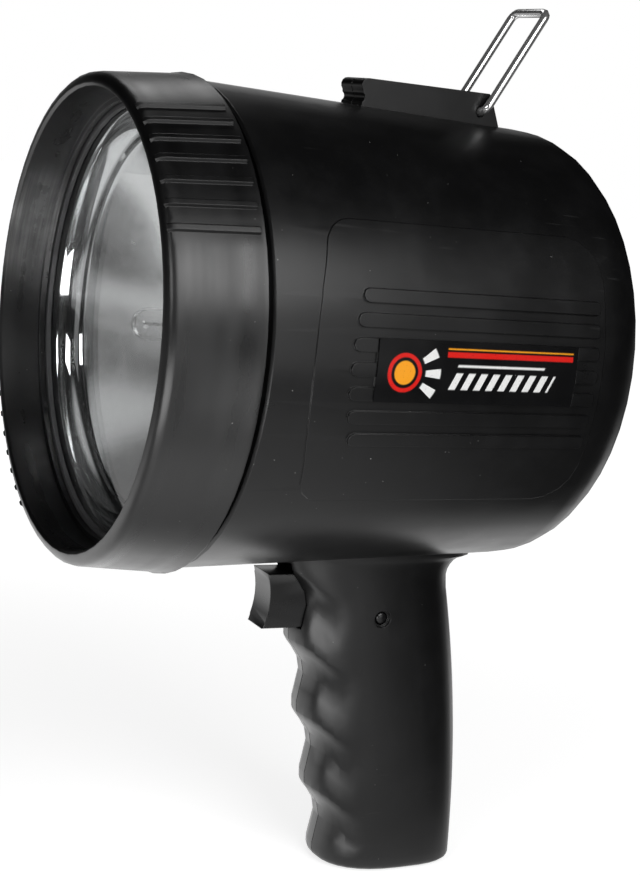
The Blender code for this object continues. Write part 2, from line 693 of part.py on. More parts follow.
def rail():
    """The bar on top of the drum, with its rolled lip in front."""
    lip_centre = (RAIL_FRONT + RAIL_LIP_R, RAIL_TOP - RAIL_LIP_R)
    lip = arc(lip_centre, RAIL_LIP_R, 90, RAIL_LIP_ANGLE, RAIL_LIP_STEPS)
    neck_centre = (RAIL_FRONT, RAIL_TOP - 2 * RAIL_LIP_R - RAIL_NECK_R)
    neck = arc(neck_centre, RAIL_NECK_R, RAIL_NECK_ANGLE, -RAIL_NECK_ANGLE, RAIL_NECK_STEPS)
    outline = lip + neck + [(RAIL_FRONT, RAIL_FOOT), (RAIL_BACK_FOOT, RAIL_FOOT)]
    outline += [(RAIL_BACK_FOOT, drum_r(RAIL_BACK_FOOT)), (RAIL_BACK_TOP, RAIL_TOP - RAIL_EDGE)]
    outline += [(RAIL_BACK_TOP - RAIL_EDGE, RAIL_TOP)]
    return as_object("rail", slab(outline, -RAIL_WIDTH / 2, RAIL_WIDTH / 2))


def drum_sleeve(floor, rise):
    """A sleeve that follows the drum's taper, between two distances outside its surface."""
    start, end = DRUM_START + SHOULDER_GAP, LAMP_LENGTH - DRUM_BACK_FILLET
    profile = [(start, drum_r(start) + floor), (end, drum_r(end) + floor)]
    profile += [(end, drum_r(end) + rise), (start, drum_r(start) + rise)]
    return turned(profile, DRUM_STEPS)


def patch(outline, rise, side, floor=-DRUM_WALL / 2):
    """A patch on one side of the drum, trimmed from a sleeve by (depth, height) points."""
    made = as_object("patch", drum_sleeve(floor, rise))
    ends = sorted((side * DRUM_BACK_R / 2, side * (max(DRUM_FRONT_R, DRUM_BACK_R) + OVERRUN)))
    return combine(made, [as_object("trim", slab(outline, *ends))], "INTERSECT")


def panel_outline():
    """Bowed in front and straight behind, with rounded corners."""
    height, fillet = PANEL_HALF_HEIGHT, PANEL_FRONT_FILLET
    edge = height - fillet
    bow = []
    for i in range(1 - PANEL_BOW_STEPS, PANEL_BOW_STEPS):
        share = i / PANEL_BOW_STEPS
        bow.append((PANEL_FRONT + PANEL_BOW * share ** 2, edge * share))
    centre = PANEL_FRONT + PANEL_BOW + fillet
    front = arc((centre, -edge), fillet, 270, 180, PANEL_FILLET_STEPS) + bow
    front += arc((centre, edge), fillet, 180, 90, PANEL_FILLET_STEPS)
    fillet = PANEL_BACK_FILLET
    top = arc((PANEL_BACK - fillet, height - fillet), fillet, 90, 0, PANEL_FILLET_STEPS)
    foot = arc((PANEL_BACK - fillet, fillet - height), fillet, 0, -90, PANEL_FILLET_STEPS)
    return front + top + foot


def rib_outline(place):
    """One rib, round in front and squarer behind, at place steps above the middle one."""
    height = DRUM_BACK_R * sin(radians(place * RIB_PITCH_ANGLE))
    half = RIB_THICK / 2 * cos(radians(place * RIB_PITCH_ANGLE))
    lag = RIB_OUTER_LAG * (2 * place / (RIB_COUNT - 1)) ** 2
    front = PANEL_FRONT + RIB_FRONT_SET + lag + half
    back, edge = PANEL_BACK - RIB_BACK_SET - RIB_BACK_FILLET, half - RIB_BACK_FILLET
    outline = arc((front, height), half, 90, 270, RIB_END_STEPS)
    outline += arc((back, height - edge), RIB_BACK_FILLET, -90, 0, 3)
    return outline + arc((back, height + edge), RIB_BACK_FILLET, 0, 90, 3)


def label_outline(margin=0.0):
    half, front, back = LABEL_HEIGHT / 2 + margin, LABEL_FRONT - margin, LABEL_BACK + margin
    return [(front, -half), (back, -half), (back, half), (front, half)]


def add_side_patches(half, side):
    """The panel and its ribs, which stop on the left at a pad for the label."""
    patches = [patch(panel_outline(), PANEL_RISE, side)]
    for i in range(RIB_COUNT):
        patches.append(patch(rib_outline(i - (RIB_COUNT - 1) / 2), RIB_RISE, side))
    join(half, *patches)
    if side > 0:
        floor = (PANEL_RISE + PAD_RISE) / 2
        cut(half, patch(label_outline(FIT_GAP), RIB_RISE + OVERRUN, side, floor))
        join(half, patch(label_outline(), PAD_RISE, side))


def ring_sector(name, inner, outer, front, stations):
    """Part of a ring about the lamp's axis, from stations of (degrees above +x, depth of its back)."""
    sections = []
    for degrees, back in stations:
        turn = radians(degrees)
        corners = [(front, inner), (back, inner), (back, outer), (front, outer)]
        sections.append([(r * cos(turn), y, r * sin(turn)) for y, r in corners])
    return as_object(name, lofted(sections))


def neck_lug(angle):
    """A bayonet lug on the neck, with the stop that the bezel's lug rests against."""
    back, stop_back = LUG_FRONT + LUG_THICK, BEZEL_LUG_FRONT + LUG_THICK
    start, end = angle - LUG_ANGLE / 2, angle + LUG_ANGLE / 2
    stations = [(start - LUG_STOP_ANGLE, stop_back), (start - LUG_RAMP_ANGLE, stop_back)]
    stations += [(start, back), (angle, back), (end, back)]
    return ring_sector("neck_lug", NECK_R - NECK_WALL / 2, NECK_R + LUG_RISE, LUG_FRONT, stations)


def drum_bosses(side):
    """The screw bosses that reach across the drum, trimmed inside its wall."""
    start, end = sorted((0.0, side * DRUM_FRONT_R))
    places = [place for place in screw_places() if place[1] > -GRIP_ROOT]
    first, *others = (as_object("boss", rod(BOSS_R, start, end, (0.0, *place))) for place in places)
    join(first, *others)
    front, back = DRUM_START + DRUM_WALL, LAMP_LENGTH - DRUM_BACK_FILLET
    profile = [(front, 0.0), (front, drum_r(front) - DRUM_WALL / 2)]
    profile += [(back, drum_r(back) - DRUM_WALL / 2), (back, 0.0)]
    return combine(first, [as_object("core", turned(profile, DRUM_STEPS))], "INTERSECT")


def boss_solids(side):
    """Grip bosses, posts, standoffs and switch ribs of one half."""
    solids = []
    start, end = sorted((0.0, side * (GRIP_WIDTH / 2 - GRIP_WALL + FIT_GAP)))
    for depth, height in screw_places():
        if height < -GRIP_ROOT:
            solids.append(rod(BOSS_R, start, end, (0.0, depth, height)))
    for height in (-POST_PLACES, POST_PLACES):
        start = BATTERY_BACK + PAD_SIZE[1] + 2 * FIT_GAP
        place = (side * POST_PLACES, 0.0, height)
        solids.append(rod(POST_R, start, LAMP_LENGTH - DRUM_WALL / 2, place, "Y", POST_STEPS))
    for rise in (-STANDOFF_RISE, STANDOFF_RISE):
        start = BOARD_DEPTH + BOARD_SIZE[1] + FIT_GAP
        place = (side * STANDOFF_X, 0.0, rise - BOARD_LEVEL)
        solids.append(rod(STANDOFF_R, start, LAMP_LENGTH - DRUM_WALL / 2, place, "Y", POST_STEPS))
    for depth in (SWITCH_FRONT + SWITCH_RIB_THICK, SWITCH_FRONT + SWITCH_SIZE[1] - SWITCH_RIB_THICK):
        ends = sorted((side * (SWITCH_SIZE[0] / 2 + FIT_GAP), side * (GRIP_WIDTH - GRIP_WALL) / 2))
        half = SWITCH_SIZE[2] / 2
        low = (ends[0], depth - SWITCH_RIB_THICK / 2, -SWITCH_AXIS - half)
        high = (ends[1], depth + SWITCH_RIB_THICK / 2, -SWITCH_AXIS + half)
        solids.append(block(low, high))
    return [as_object("boss", bm) for bm in solids]


def screw_holes(side):
    """Pilot holes in the left half, or clearance holes with deep counterbores in the right one."""
    tools = []
    for depth, height in screw_places():
        place = (0.0, depth, height)
        if side > 0:
            end = SCREW_LENGTH - SCREW_SEAT_X + FIT_GAP
            tools.append(rod(SCREW_SHANK_R + FIT_GAP, -OVERRUN, end, place))
        else:
            tools.append(rod(SCREW_SHANK_R + RUN_GAP, -SCREW_SEAT_X - OVERRUN, OVERRUN, place))
            outside = -DRUM_FRONT_R - OVERRUN
            tools.append(rod(SCREW_HEAD_R + RUN_GAP, outside, -SCREW_SEAT_X, place))
    return [as_object("hole", bm) for bm in tools]


def shared_holes():
    """Openings that the seam runs through, and those that run across both halves."""
    slot_half = TRIGGER_WIDTH / 2 + RUN_GAP
    slot_back = grip_cusp_line(TRIGGER_FOOT) + GRIP_SCALLOP + GRIP_WALL + OVERRUN
    low = (-slot_half, TRIGGER_FRONT, -TRIGGER_FOOT - RUN_GAP)
    tools = [block(low, (slot_half, slot_back, -SLOT_TOP))]
    pin_place = (0.0, PIN_DEPTH, -PIN_LEVEL)
    outside = GRIP_WIDTH / 2 + OVERRUN
    recess = GRIP_WIDTH / 2 - PIN_RECESS_DEPTH
    tools.append(rod(PIN_R + RUN_GAP, -outside, outside, pin_place))
    tools.append(rod(PIN_RECESS_R, recess, outside, pin_place))
    tools.append(rod(PIN_RECESS_R, -outside, -recess, pin_place))
    bail_place = (0.0, BAIL_PIVOT_DEPTH, BAIL_PIVOT_HEIGHT)
    bail_end = BAIL_FOOT_X - RUN_GAP
    rail_outside = RAIL_WIDTH / 2 + OVERRUN
    tools.append(rod(BAIL_HOLE_R, bail_end, rail_outside, bail_place))
    tools.append(rod(BAIL_HOLE_R, -rail_outside, -bail_end, bail_place))
    back_ends = (INNER_BACK - OVERRUN, LAMP_LENGTH + OVERRUN)
    tools.append(rod(JACK_R + FIT_GAP, *back_ends, (0.0, 0.0, -JACK_LEVEL), "Y", SMALL_STEPS))
    tools.append(rod(LED_R + FIT_GAP, *back_ends, (0.0, 0.0, -LED_LEVEL), "Y", SMALL_STEPS))
    return [as_object("hole", bm) for bm in tools]


def housing():
    """Both halves, cut from one shell along the seam."""
    shell = join(drum_outer(), grip_outer(), rail())
    cut(shell, join(drum_inner(), grip_inner()))
    join(shell, *(neck_lug(angle) for angle in LUG_ANGLES))
    cut(shell, *shared_holes())
    black = material("black_plastic", (0.016, 0.016, 0.017), 0.42)
    for name, side in (("housing_left", 1), ("housing_right", -1)):
        half = copied(shell)
        half.name = name
        add_side_patches(half, side)
        join(half, drum_bosses(side), *boss_solids(side))
        cut(half, *screw_holes(side))
        seam = SEAM_GAP / 2
        ends = sorted((side * seam, side * (DRUM_FRONT_R + 2 * OVERRUN)))
        low = (ends[0], -OVERRUN, -AXIS_HEIGHT - OVERRUN)
        high = (ends[1], LAMP_LENGTH + OVERRUN, AXIS_HEIGHT)
        combine(half, [as_object("half_space", block(low, high))], "INTERSECT")
        dress(half, black)
    bpy.data.objects.remove(shell)


# Bezel, lens and gasket


def bezel_ring():
    """The hood and lens ring, with its shelf, its bayonet lugs and two groups of grip ridges."""
    lip = arc((MOUTH_EDGE, MOUTH_R + MOUTH_EDGE), MOUTH_EDGE, -90, -180, 2)
    lip += arc((BEZEL_LIP_FILLET, BEZEL_FRONT_R - BEZEL_LIP_FILLET), BEZEL_LIP_FILLET, 180, 90, 4)
    bead = BEZEL_BACK_R + BEZEL_REAR_BEAD
    back = [(BEZEL_LENGTH - BEZEL_BEAD_LENGTH, BEZEL_BACK_R), (BEZEL_LENGTH - BEZEL_REAR_BEAD, bead)]
    back += [(BEZEL_LENGTH, bead), (BEZEL_LENGTH, SKIRT_R)]
    shelf_back = HOOD_DEPTH + SHELF_THICK
    inside = [(shelf_back, SKIRT_R), (shelf_back, SHELF_R), (HOOD_DEPTH, SHELF_R), (HOOD_DEPTH, HOOD_BACK_R)]
    ring = as_object("bezel_ring", turned(lip + back + inside, BEZEL_STEPS))
    half, lug_back = LUG_ANGLE / 2 - LUG_CLEAR_ANGLE, BEZEL_LUG_FRONT + LUG_THICK
    lug_ends = (NECK_R + RUN_GAP, SKIRT_R + LUG_RISE / 2)
    added = []
    for angle in LUG_ANGLES:
        stations = [(angle + turn, lug_back) for turn in (-half, 0.0, half)]
        added.append(ring_sector("bezel_lug", *lug_ends, BEZEL_LUG_FRONT, stations))
    for group in RIDGE_GROUP_ANGLES:
        for i in range(RIDGES_PER_GROUP):
            place = i - (RIDGES_PER_GROUP - 1) / 2
            added.append(as_object("ridge", grip_ridge(group + place * RIDGE_PITCH_ANGLE)))
    join(ring, *added)
    return dress(ring, material("bezel_plastic", (0.016, 0.016, 0.017), 0.38))


def grip_ridge(angle):
    """One axial ridge that starts on the lip's rounding and runs to the bezel's back."""
    centre = (BEZEL_LIP_FILLET, BEZEL_FRONT_R - BEZEL_LIP_FILLET)
    feet = arc(centre, BEZEL_LIP_FILLET - RIDGE_SINK, RIDGE_START_ANGLE, 90, RIDGE_END_STEPS)
    crests = arc(centre, BEZEL_LIP_FILLET + RIDGE_RISE, RIDGE_START_ANGLE, 90, RIDGE_END_STEPS)
    back = BEZEL_LENGTH - BEZEL_BEAD_LENGTH
    feet.append((back, BEZEL_BACK_R - RIDGE_SINK))
    crests.append((back, BEZEL_BACK_R + RIDGE_RISE))
    turn = radians(angle)
    out, across = Vector((cos(turn), 0, sin(turn))), Vector((-sin(turn), 0, cos(turn)))
    along = Vector((0, 1, 0))
    sections = []
    for foot, crest in zip(feet, crests):
        corners = [(foot, -RIDGE_FOOT), (foot, RIDGE_FOOT), (crest, RIDGE_CREST), (crest, -RIDGE_CREST)]
        sections.append([along * y + out * r + across * width / 2 for (y, r), width in corners])
    return lofted(sections)


def lens():
    back, radius = LENS_FRONT + LENS_THICK, SKIRT_R - 2 * RUN_GAP
    profile = [(LENS_FRONT, 0.0), (LENS_FRONT, radius - LENS_EDGE), (LENS_FRONT + LENS_EDGE, radius)]
    profile += [(back, radius), (back, 0.0)]
    clear = material("clear_lens", (0.95, 0.97, 0.97), 0.05, transmission=1.0)
    return dress(as_object("lens", turned(profile, BEZEL_STEPS)), clear)


def lens_gasket():
    back, radius = GASKET_FRONT + GASKET_THICK, SKIRT_R - 2 * RUN_GAP
    profile = [(GASKET_FRONT, GASKET_R), (back, GASKET_R), (back, radius), (GASKET_FRONT, radius)]
    grey = material("gasket_rubber", (0.12, 0.12, 0.12), 0.7)
    return dress(as_object("lens_gasket", turned(profile, REFLECTOR_STEPS)), grey)


# Reflector and bulb


def reflector():
    """Flange, bright straight band, paraboloid bowl and the bulb's socket, as one thin wall."""
    radius = SKIRT_R - 2 * RUN_GAP
    band_back = FLANGE_FRONT + BAND_LENGTH
    front = [(FLANGE_FRONT, radius), (FLANGE_FRONT, BAND_FRONT_R), (band_back, BAND_BACK_R)]
    bowl = []
    for i in range(BOWL_STEPS):
        r = BOWL_R + (SOCKET_R - BOWL_R) * i / (BOWL_STEPS - 1)
        bowl.append((bowl_depth(r), r))
    socket_r = SOCKET_R + REFLECTOR_WALL
    socket = [(SOCKET_BACK, SOCKET_R), (SOCKET_BACK, socket_r)]
    shell = []
    for i in range(BOWL_BACK_STEPS):
        r = socket_r + (BOWL_R - socket_r) * i / (BOWL_BACK_STEPS - 1)
        slope = atan2(r, 2 * FOCAL_LENGTH)
        shell.append((bowl_depth(r) + REFLECTOR_WALL * cos(slope), r + REFLECTOR_WALL * sin(slope)))
    shell[0] = (bowl_depth(socket_r) + REFLECTOR_WALL, socket_r)
    flange_back = FLANGE_FRONT + REFLECTOR_FLANGE
    back = [(flange_back, BAND_FRONT_R + REFLECTOR_WALL), (flange_back, radius)]
    chrome = material("bright_reflector", (0.86, 0.87, 0.88), 0.08, metallic=1.0)
    profile = front + bowl + socket + shell + back
    return dress(as_object("reflector", turned(profile, REFLECTOR_STEPS)), chrome)


def bulb_glass():
    """A thin capsule, closed in front and open at its neck."""
    centre = (BULB_TIP + BULB_R, 0.0)
    neck_start = BULB_GLASS_BACK - BULB_R
    inner_r, neck_bore = BULB_R - BULB_GLASS_WALL, BULB_NECK_R - BULB_GLASS_WALL
    outside = arc(centre, BULB_R, 180, 90, 5) + [(neck_start, BULB_R), (BULB_GLASS_BACK, BULB_NECK_R)]
    inside = [(BULB_GLASS_BACK, neck_bore), (neck_start, inner_r)] + arc(centre, inner_r, 90, 180, 4)
    outside[0], inside[-1] = (BULB_TIP, 0.0), (BULB_TIP + BULB_GLASS_WALL, 0.0)
    glass = material("bulb_glass", (0.97, 0.97, 0.97), 0.03, transmission=1.0)
    return dress(as_object("bulb_glass", turned(outside + inside, SMALL_STEPS)), glass)


def bulb_filament():
    tip = BULB_TIP + FILAMENT_TIP_GAP
    x = FILAMENT_POST_X
    points = [(-x, BULB_GLASS_BACK, 0.0), (-x, tip, 0.0), (x, tip, 0.0), (x, BULB_GLASS_BACK, 0.0)]
    steel = material("filament_wire", (0.55, 0.55, 0.56), 0.3, metallic=1.0)
    return tube("bulb_filament", points, FILAMENT_WIRE_R, steel, sides_level=1)


def bulb_base():
    start = BULB_GLASS_BACK + FIT_GAP
    flange_back = BULB_FLANGE_DEPTH + BULB_FLANGE_THICK
    profile = [(start, 0.0), (start, BULB_STEM_R), (BULB_FLANGE_DEPTH, BULB_STEM_R)]
    profile += [(BULB_FLANGE_DEPTH, BULB_FLANGE_R), (flange_back, BULB_FLANGE_R)]
    profile += [(flange_back, BULB_TAIL_R), (BULB_TAIL_BACK, BULB_TAIL_R), (BULB_TAIL_BACK, 0.0)]
    metal = material("bulb_metal", (0.62, 0.61, 0.58), 0.3, metallic=1.0)
    return dress(as_object("bulb_base", turned(profile, SMALL_STEPS)), metal)


def bulb_holder():
    """The cap that laps over the reflector's socket and presses the bulb's flange on it."""
    inner = SOCKET_R + REFLECTOR_WALL + RUN_GAP
    outer = inner + HOLDER_WALL
    wall_front = BULB_FLANGE_DEPTH + BULB_FLANGE_THICK + FIT_GAP
    wall_back, front = wall_front + HOLDER_WALL, SOCKET_BACK - HOLDER_LAP
    hole = BULB_TAIL_R + FIT_GAP
    profile = [(front, inner), (front, outer), (wall_back, outer), (wall_back, hole)]
    profile += [(wall_front, hole), (wall_front, inner)]
    white = material("holder_plastic", (0.75, 0.73, 0.68), 0.5)
    return dress(as_object("bulb_holder", turned(profile, SMALL_STEPS)), white)


# Battery and what carries it


def box_around(depths, half_width, half_height):
    return block((-half_width, depths[0], -half_height), (half_width, depths[1], half_height))


def bulkhead():
    """A tapered disc that wedges in the drum, with a tray for the battery behind it."""
    front = BATTERY_DEPTH - FIT_GAP - BULKHEAD_THICK
    back = BATTERY_DEPTH - FIT_GAP
    rims = [drum_r(depth) - DRUM_WALL - RUN_GAP for depth in (front, back)]
    disc = [(front, BULKHEAD_WINDOW_R), (front, rims[0]), (back, rims[1]), (back, BULKHEAD_WINDOW_R)]
    made = as_object("bulkhead", turned(disc, BORE_STEPS))
    half_x, half_z = BATTERY_SIZE[0] / 2 + FIT_GAP, BATTERY_SIZE[2] / 2 + FIT_GAP
    tray_ends = (back - BULKHEAD_THICK / 2, BATTERY_DEPTH + TRAY_LENGTH)
    tray = as_object("tray", box_around(tray_ends, half_x + TRAY_WALL, half_z + TRAY_WALL))
    room = as_object("room", box_around((front - OVERRUN, tray_ends[1] + OVERRUN), half_x, half_z))
    join(made, cut(tray, room))
    notch_width, notch_height = BULKHEAD_NOTCH
    for side in (-1, 1):
        foot, top = sorted((side * (rims[0] - notch_height), side * (rims[0] + OVERRUN)))
        low = (-notch_width / 2, front - OVERRUN, foot)
        cut(made, as_object("notch", block(low, (notch_width / 2, back + OVERRUN, top))))
    return dress(made, material("inner_plastic", (0.05, 0.05, 0.055), 0.55))


def battery_case():
    """A sealed block with a lid that stands a little wider than the case."""
    width, length, height = BATTERY_SIZE
    top = height / 2
    step = BATTERY_LID_STEP
    low = (step - width / 2, BATTERY_DEPTH + step, -top)
    case = block(low, (width / 2 - step, BATTERY_BACK - step, top - BATTERY_LID / 2))
    lid = block((-width / 2, BATTERY_DEPTH, top - BATTERY_LID), (width / 2, BATTERY_BACK, top))
    for bm in (case, lid):
        upright = [edge for edge in bm.edges if abs(edge.verts[0].co.z - edge.verts[1].co.z) > WELD]
        bmesh.ops.bevel(bm, geom=upright, offset=BATTERY_EDGE, segments=2, profile=0.5, affect="EDGES")
    made = join(as_object("battery_case", case), as_object("lid", lid))
    return dress(made, material("battery_plastic", (0.10, 0.10, 0.11), 0.5))


def battery_terminals():
    width, thick, height = TERMINAL_SIZE
    brass = material("terminal_metal", (0.78, 0.72, 0.55), 0.3, metallic=1.0)
    foot = BATTERY_SIZE[2] / 2 + FIT_GAP
    for name, side in (("battery_terminal_positive", 1), ("battery_terminal_negative", -1)):
        x = side * TERMINAL_SPREAD
        low = (x - width / 2, TERMINAL_DEPTH - thick / 2, foot)
        high = (x + width / 2, TERMINAL_DEPTH + thick / 2, foot + height)
        dress(as_object(name, block(low, high)), brass)


def battery_pad():
    width, thick, height = PAD_SIZE
    front = BATTERY_BACK + FIT_GAP
    foam = material("foam", (0.03, 0.03, 0.03), 0.95)
    pad = box_around((front, front + thick), width / 2, height / 2)
    return dress(as_object("battery_pad", pad), foam)


# Trigger, switch and lock pin


def trigger():
    """The finger lever: hollowed in front, with a collar that keeps it in and a tail for the lock pin."""
    rise = (TRIGGER_FOOT - TRIGGER_TOP) / 2
    bend = (rise ** 2 + TRIGGER_HOLLOW ** 2) / (2 * TRIGGER_HOLLOW)
    sweep = asin(rise / bend) * 180 / pi
    middle = -(TRIGGER_TOP + TRIGGER_FOOT) / 2
    centre = (TRIGGER_FRONT + TRIGGER_HOLLOW - bend, middle)
    outline = arc(centre, bend, -sweep, sweep, TRIGGER_HOLLOW_STEPS)
    outline += [(TRIGGER_BACK, -TRIGGER_TOP), (TRIGGER_BACK, -TRIGGER_FOOT)]
    half = TRIGGER_WIDTH / 2
    finger = slab(outline, -half, half)
    side_edges = [edge for edge in finger.edges if abs(edge.verts[0].co.x - edge.verts[1].co.x) < WELD]
    bmesh.ops.bevel(finger, geom=side_edges, offset=TRIGGER_EDGE, segments=2, profile=0.5, affect="EDGES")
    joint = (0.0, TRIGGER_FRONT, middle)
    made = as_object("trigger", finger)
    collar_half = TRIGGER_COLLAR_WIDTH / 2
    collar_back = TRIGGER_COLLAR_DEPTH + TRIGGER_COLLAR_THICK
    collar_low = (-collar_half, TRIGGER_COLLAR_DEPTH, TRIGGER_EDGE - TRIGGER_FOOT)
    collar = block(collar_low, (collar_half, collar_back, -TRIGGER_TOP - TRIGGER_EDGE))
    tail_half = TRIGGER_TAIL_WIDTH / 2
    tail_low = (-tail_half, collar_back - TRIGGER_EDGE, -TRIGGER_TAIL_FOOT)
    tail = block(tail_low, (tail_half, TRIGGER_TAIL_BACK, -TRIGGER_TAIL_TOP))
    join(made, as_object("collar", collar), as_object("tail", tail))
    return dress(set_joint(made, joint), material("trigger_plastic", (0.015, 0.015, 0.016), 0.3))


def set_joint(made, joint):
    """Moves an object's origin to its joint and leaves its shape where it is."""
    made.data.transform(Matrix.Translation(-Vector(joint)))
    made.location = joint
    return made


def switch_body():
    width, length, height = SWITCH_SIZE
    back = SWITCH_FRONT + length
    low = (-width / 2, SWITCH_FRONT, -SWITCH_AXIS - height / 2)
    made = as_object("switch_body", block(low, (width / 2, back, height / 2 - SWITCH_AXIS)))
    bore_place = (0.0, 0.0, -SWITCH_AXIS)
    bore = rod(SWITCH_BORE_R, SWITCH_FRONT - OVERRUN, SWITCH_FRONT + SWITCH_BORE_DEPTH, bore_place, "Y")
    cut(made, as_object("bore", bore))
    leg_width, leg_length, leg_thick = SWITCH_LEG_SIZE
    for x in (-SWITCH_LEG_X, SWITCH_LEG_X):
        low = (x - leg_width / 2, back - FIT_GAP, -SWITCH_AXIS - leg_thick / 2)
        high = (x + leg_width / 2, back + leg_length, leg_thick / 2 - SWITCH_AXIS)
        join(made, as_object("leg", block(low, high)))
    return dress(made, material("switch_plastic", (0.04, 0.04, 0.045), 0.4))


def switch_plunger():
    start = TRIGGER_BACK + FIT_GAP
    place = (0.0, 0.0, -SWITCH_AXIS)
    made = as_object("switch_plunger", rod(PLUNGER_R, start, SWITCH_FRONT + PLUNGER_INSERT, place, "Y"))
    joint = (0.0, start, -SWITCH_AXIS)
    return dress(set_joint(made, joint), material("plunger_plastic", (0.5, 0.08, 0.06), 0.4))


def trigger_spring():
    """The coil that returns the trigger, round the plunger."""
    start = TRIGGER_BACK + FIT_GAP + SPRING_WIRE_R
    end = SWITCH_FRONT - FIT_GAP - SPRING_WIRE_R
    count = SPRING_TURNS * SPRING_STEPS
    points = []
    for i in range(count + 1):
        turn = 2 * pi * SPRING_TURNS * i / count
        depth = start + (end - start) * i / count
        points.append((SPRING_R * cos(turn), depth, SPRING_R * sin(turn) - SWITCH_AXIS))
    gap = min(
        (Vector(a) - Vector(b)).length - 2 * SPRING_WIRE_R
        for i, a in enumerate(points) for b in points[i + SPRING_STEPS // 2 + 1:]
    )
    print(f"trigger_spring: least gap between its turns {gap / MM:.2f} mm")
    steel = material("spring_steel", (0.6, 0.6, 0.6), 0.3, metallic=1.0)
    joint = (0.0, SWITCH_FRONT, -SWITCH_AXIS)
    return tube("trigger_spring", points, SPRING_WIRE_R, steel, joint, sides_level=1)


def lock_pin():
    """The cross pin, sunk in its recess on the left and standing out on the right by its travel."""
    left = GRIP_WIDTH / 2 - PIN_SINK
    right = -left - PIN_TRAVEL
    collar_ends = (PIN_COLLAR_X, PIN_COLLAR_X + PIN_COLLAR_THICK)
    profile = [(right, 0.0), (right, PIN_R - PIN_EDGE), (right + PIN_EDGE, PIN_R)]
    profile += [(collar_ends[0], PIN_R), (collar_ends[0], PIN_COLLAR_R)]
    profile += [(collar_ends[1], PIN_COLLAR_R), (collar_ends[1], PIN_R)]
    profile += [(left - PIN_EDGE, PIN_R), (left, PIN_R - PIN_EDGE), (left, 0.0)]
    joint = (0.0, PIN_DEPTH, -PIN_LEVEL)
    made = as_object("lock_pin", turned(profile, SMALL_STEPS, "X", joint))
    return dress(set_joint(made, joint), material("pin_plastic", (0.02, 0.02, 0.02), 0.3))


# Bail, label and screws


def bail_wire():
    """One bent wire: both feet turn in to the rail, and the two legs join in a straight top."""
    x, bend = BAIL_SPREAD / 2, BAIL_BEND_R
    half = [(BAIL_FOOT_X, 0.0)]
    half += arc((x - bend, bend), bend, -90, 0, 5) + arc((x - bend, BAIL_LENGTH - bend), bend, 0, 90, 5)
    outline = half + [(-across, up) for across, up in half[::-1]]
    joint = Vector((0.0, BAIL_PIVOT_DEPTH, BAIL_PIVOT_HEIGHT))
    points = [joint + Vector((across, 0.0, up)) for across, up in outline]
    steel = material("bright_wire", (0.75, 0.75, 0.76), 0.12, metallic=1.0)
    made = tube("bail_wire", points, BAIL_WIRE_R, steel, joint, sides_level=2)
    made.rotation_euler.x = -radians(BAIL_LEAN_ANGLE)
    return made


def label_plate():
    start = PAD_RISE + FIT_GAP
    made = patch(label_outline(), start + LABEL_THICK, 1, start)
    made.name = "label_plate"
    return dress(made, material("gloss_label", (0.01, 0.01, 0.01), 0.12))


def housing_screws():
    steel = material("screw_steel", (0.3, 0.3, 0.31), 0.35, metallic=1.0)
    seat = -SCREW_SEAT_X - FIT_GAP
    head, tip = seat - SCREW_HEAD_THICK, seat + SCREW_LENGTH
    profile = [(head, 0.0), (head, SCREW_HEAD_R - SCREW_EDGE), (head + SCREW_EDGE, SCREW_HEAD_R)]
    profile += [(seat, SCREW_HEAD_R), (seat, SCREW_SHANK_R), (tip - SCREW_EDGE, SCREW_SHANK_R)]
    profile += [(tip, SCREW_SHANK_R - SCREW_EDGE), (tip, 0.0)]
    for number, (depth, height) in enumerate(screw_places(), 1):
        made = as_object(f"housing_screw_{number}", turned(profile, SCREW_STEPS, "X", (0.0, depth, height)))
        dress(made, steel)


# Charging parts at the back


def charge_socket():
    start, back = BOARD_DEPTH + BOARD_SIZE[1] + FIT_GAP, LAMP_LENGTH - FIT_GAP
    flange_back = INNER_BACK - FIT_GAP
    flange_front = flange_back - JACK_FLANGE_THICK
    profile = [(start, 0.0), (start, JACK_R), (flange_front, JACK_R), (flange_front, JACK_FLANGE_R)]
    profile += [(flange_back, JACK_FLANGE_R), (flange_back, JACK_R), (back, JACK_R), (back, JACK_HOLE_R)]
    profile += [(start + JACK_FLANGE_THICK, JACK_HOLE_R), (start + JACK_FLANGE_THICK, 0.0)]
    made = as_object("charge_socket", turned(profile, SMALL_STEPS, "Y", (0.0, 0.0, -JACK_LEVEL)))
    return dress(made, material("socket_plastic", (0.03, 0.03, 0.03), 0.35))


def charge_led():
    start, back = BOARD_DEPTH + BOARD_SIZE[1] + FIT_GAP, LAMP_LENGTH - FIT_GAP
    flange_back = INNER_BACK - FIT_GAP
    flange_front = flange_back - LED_FLANGE_THICK
    profile = [(start, 0.0), (start, LED_R), (flange_front, LED_R), (flange_front, LED_FLANGE_R)]
    profile += [(flange_back, LED_FLANGE_R), (flange_back, LED_R)]
    profile += arc((back - LED_R, 0.0), LED_R, 90, 0, 4)[:-1] + [(back, 0.0)]
    made = as_object("charge_led", turned(profile, SMALL_STEPS, "Y", (0.0, 0.0, -LED_LEVEL)))
    return dress(made, material("red_led", (0.6, 0.02, 0.02), 0.15))


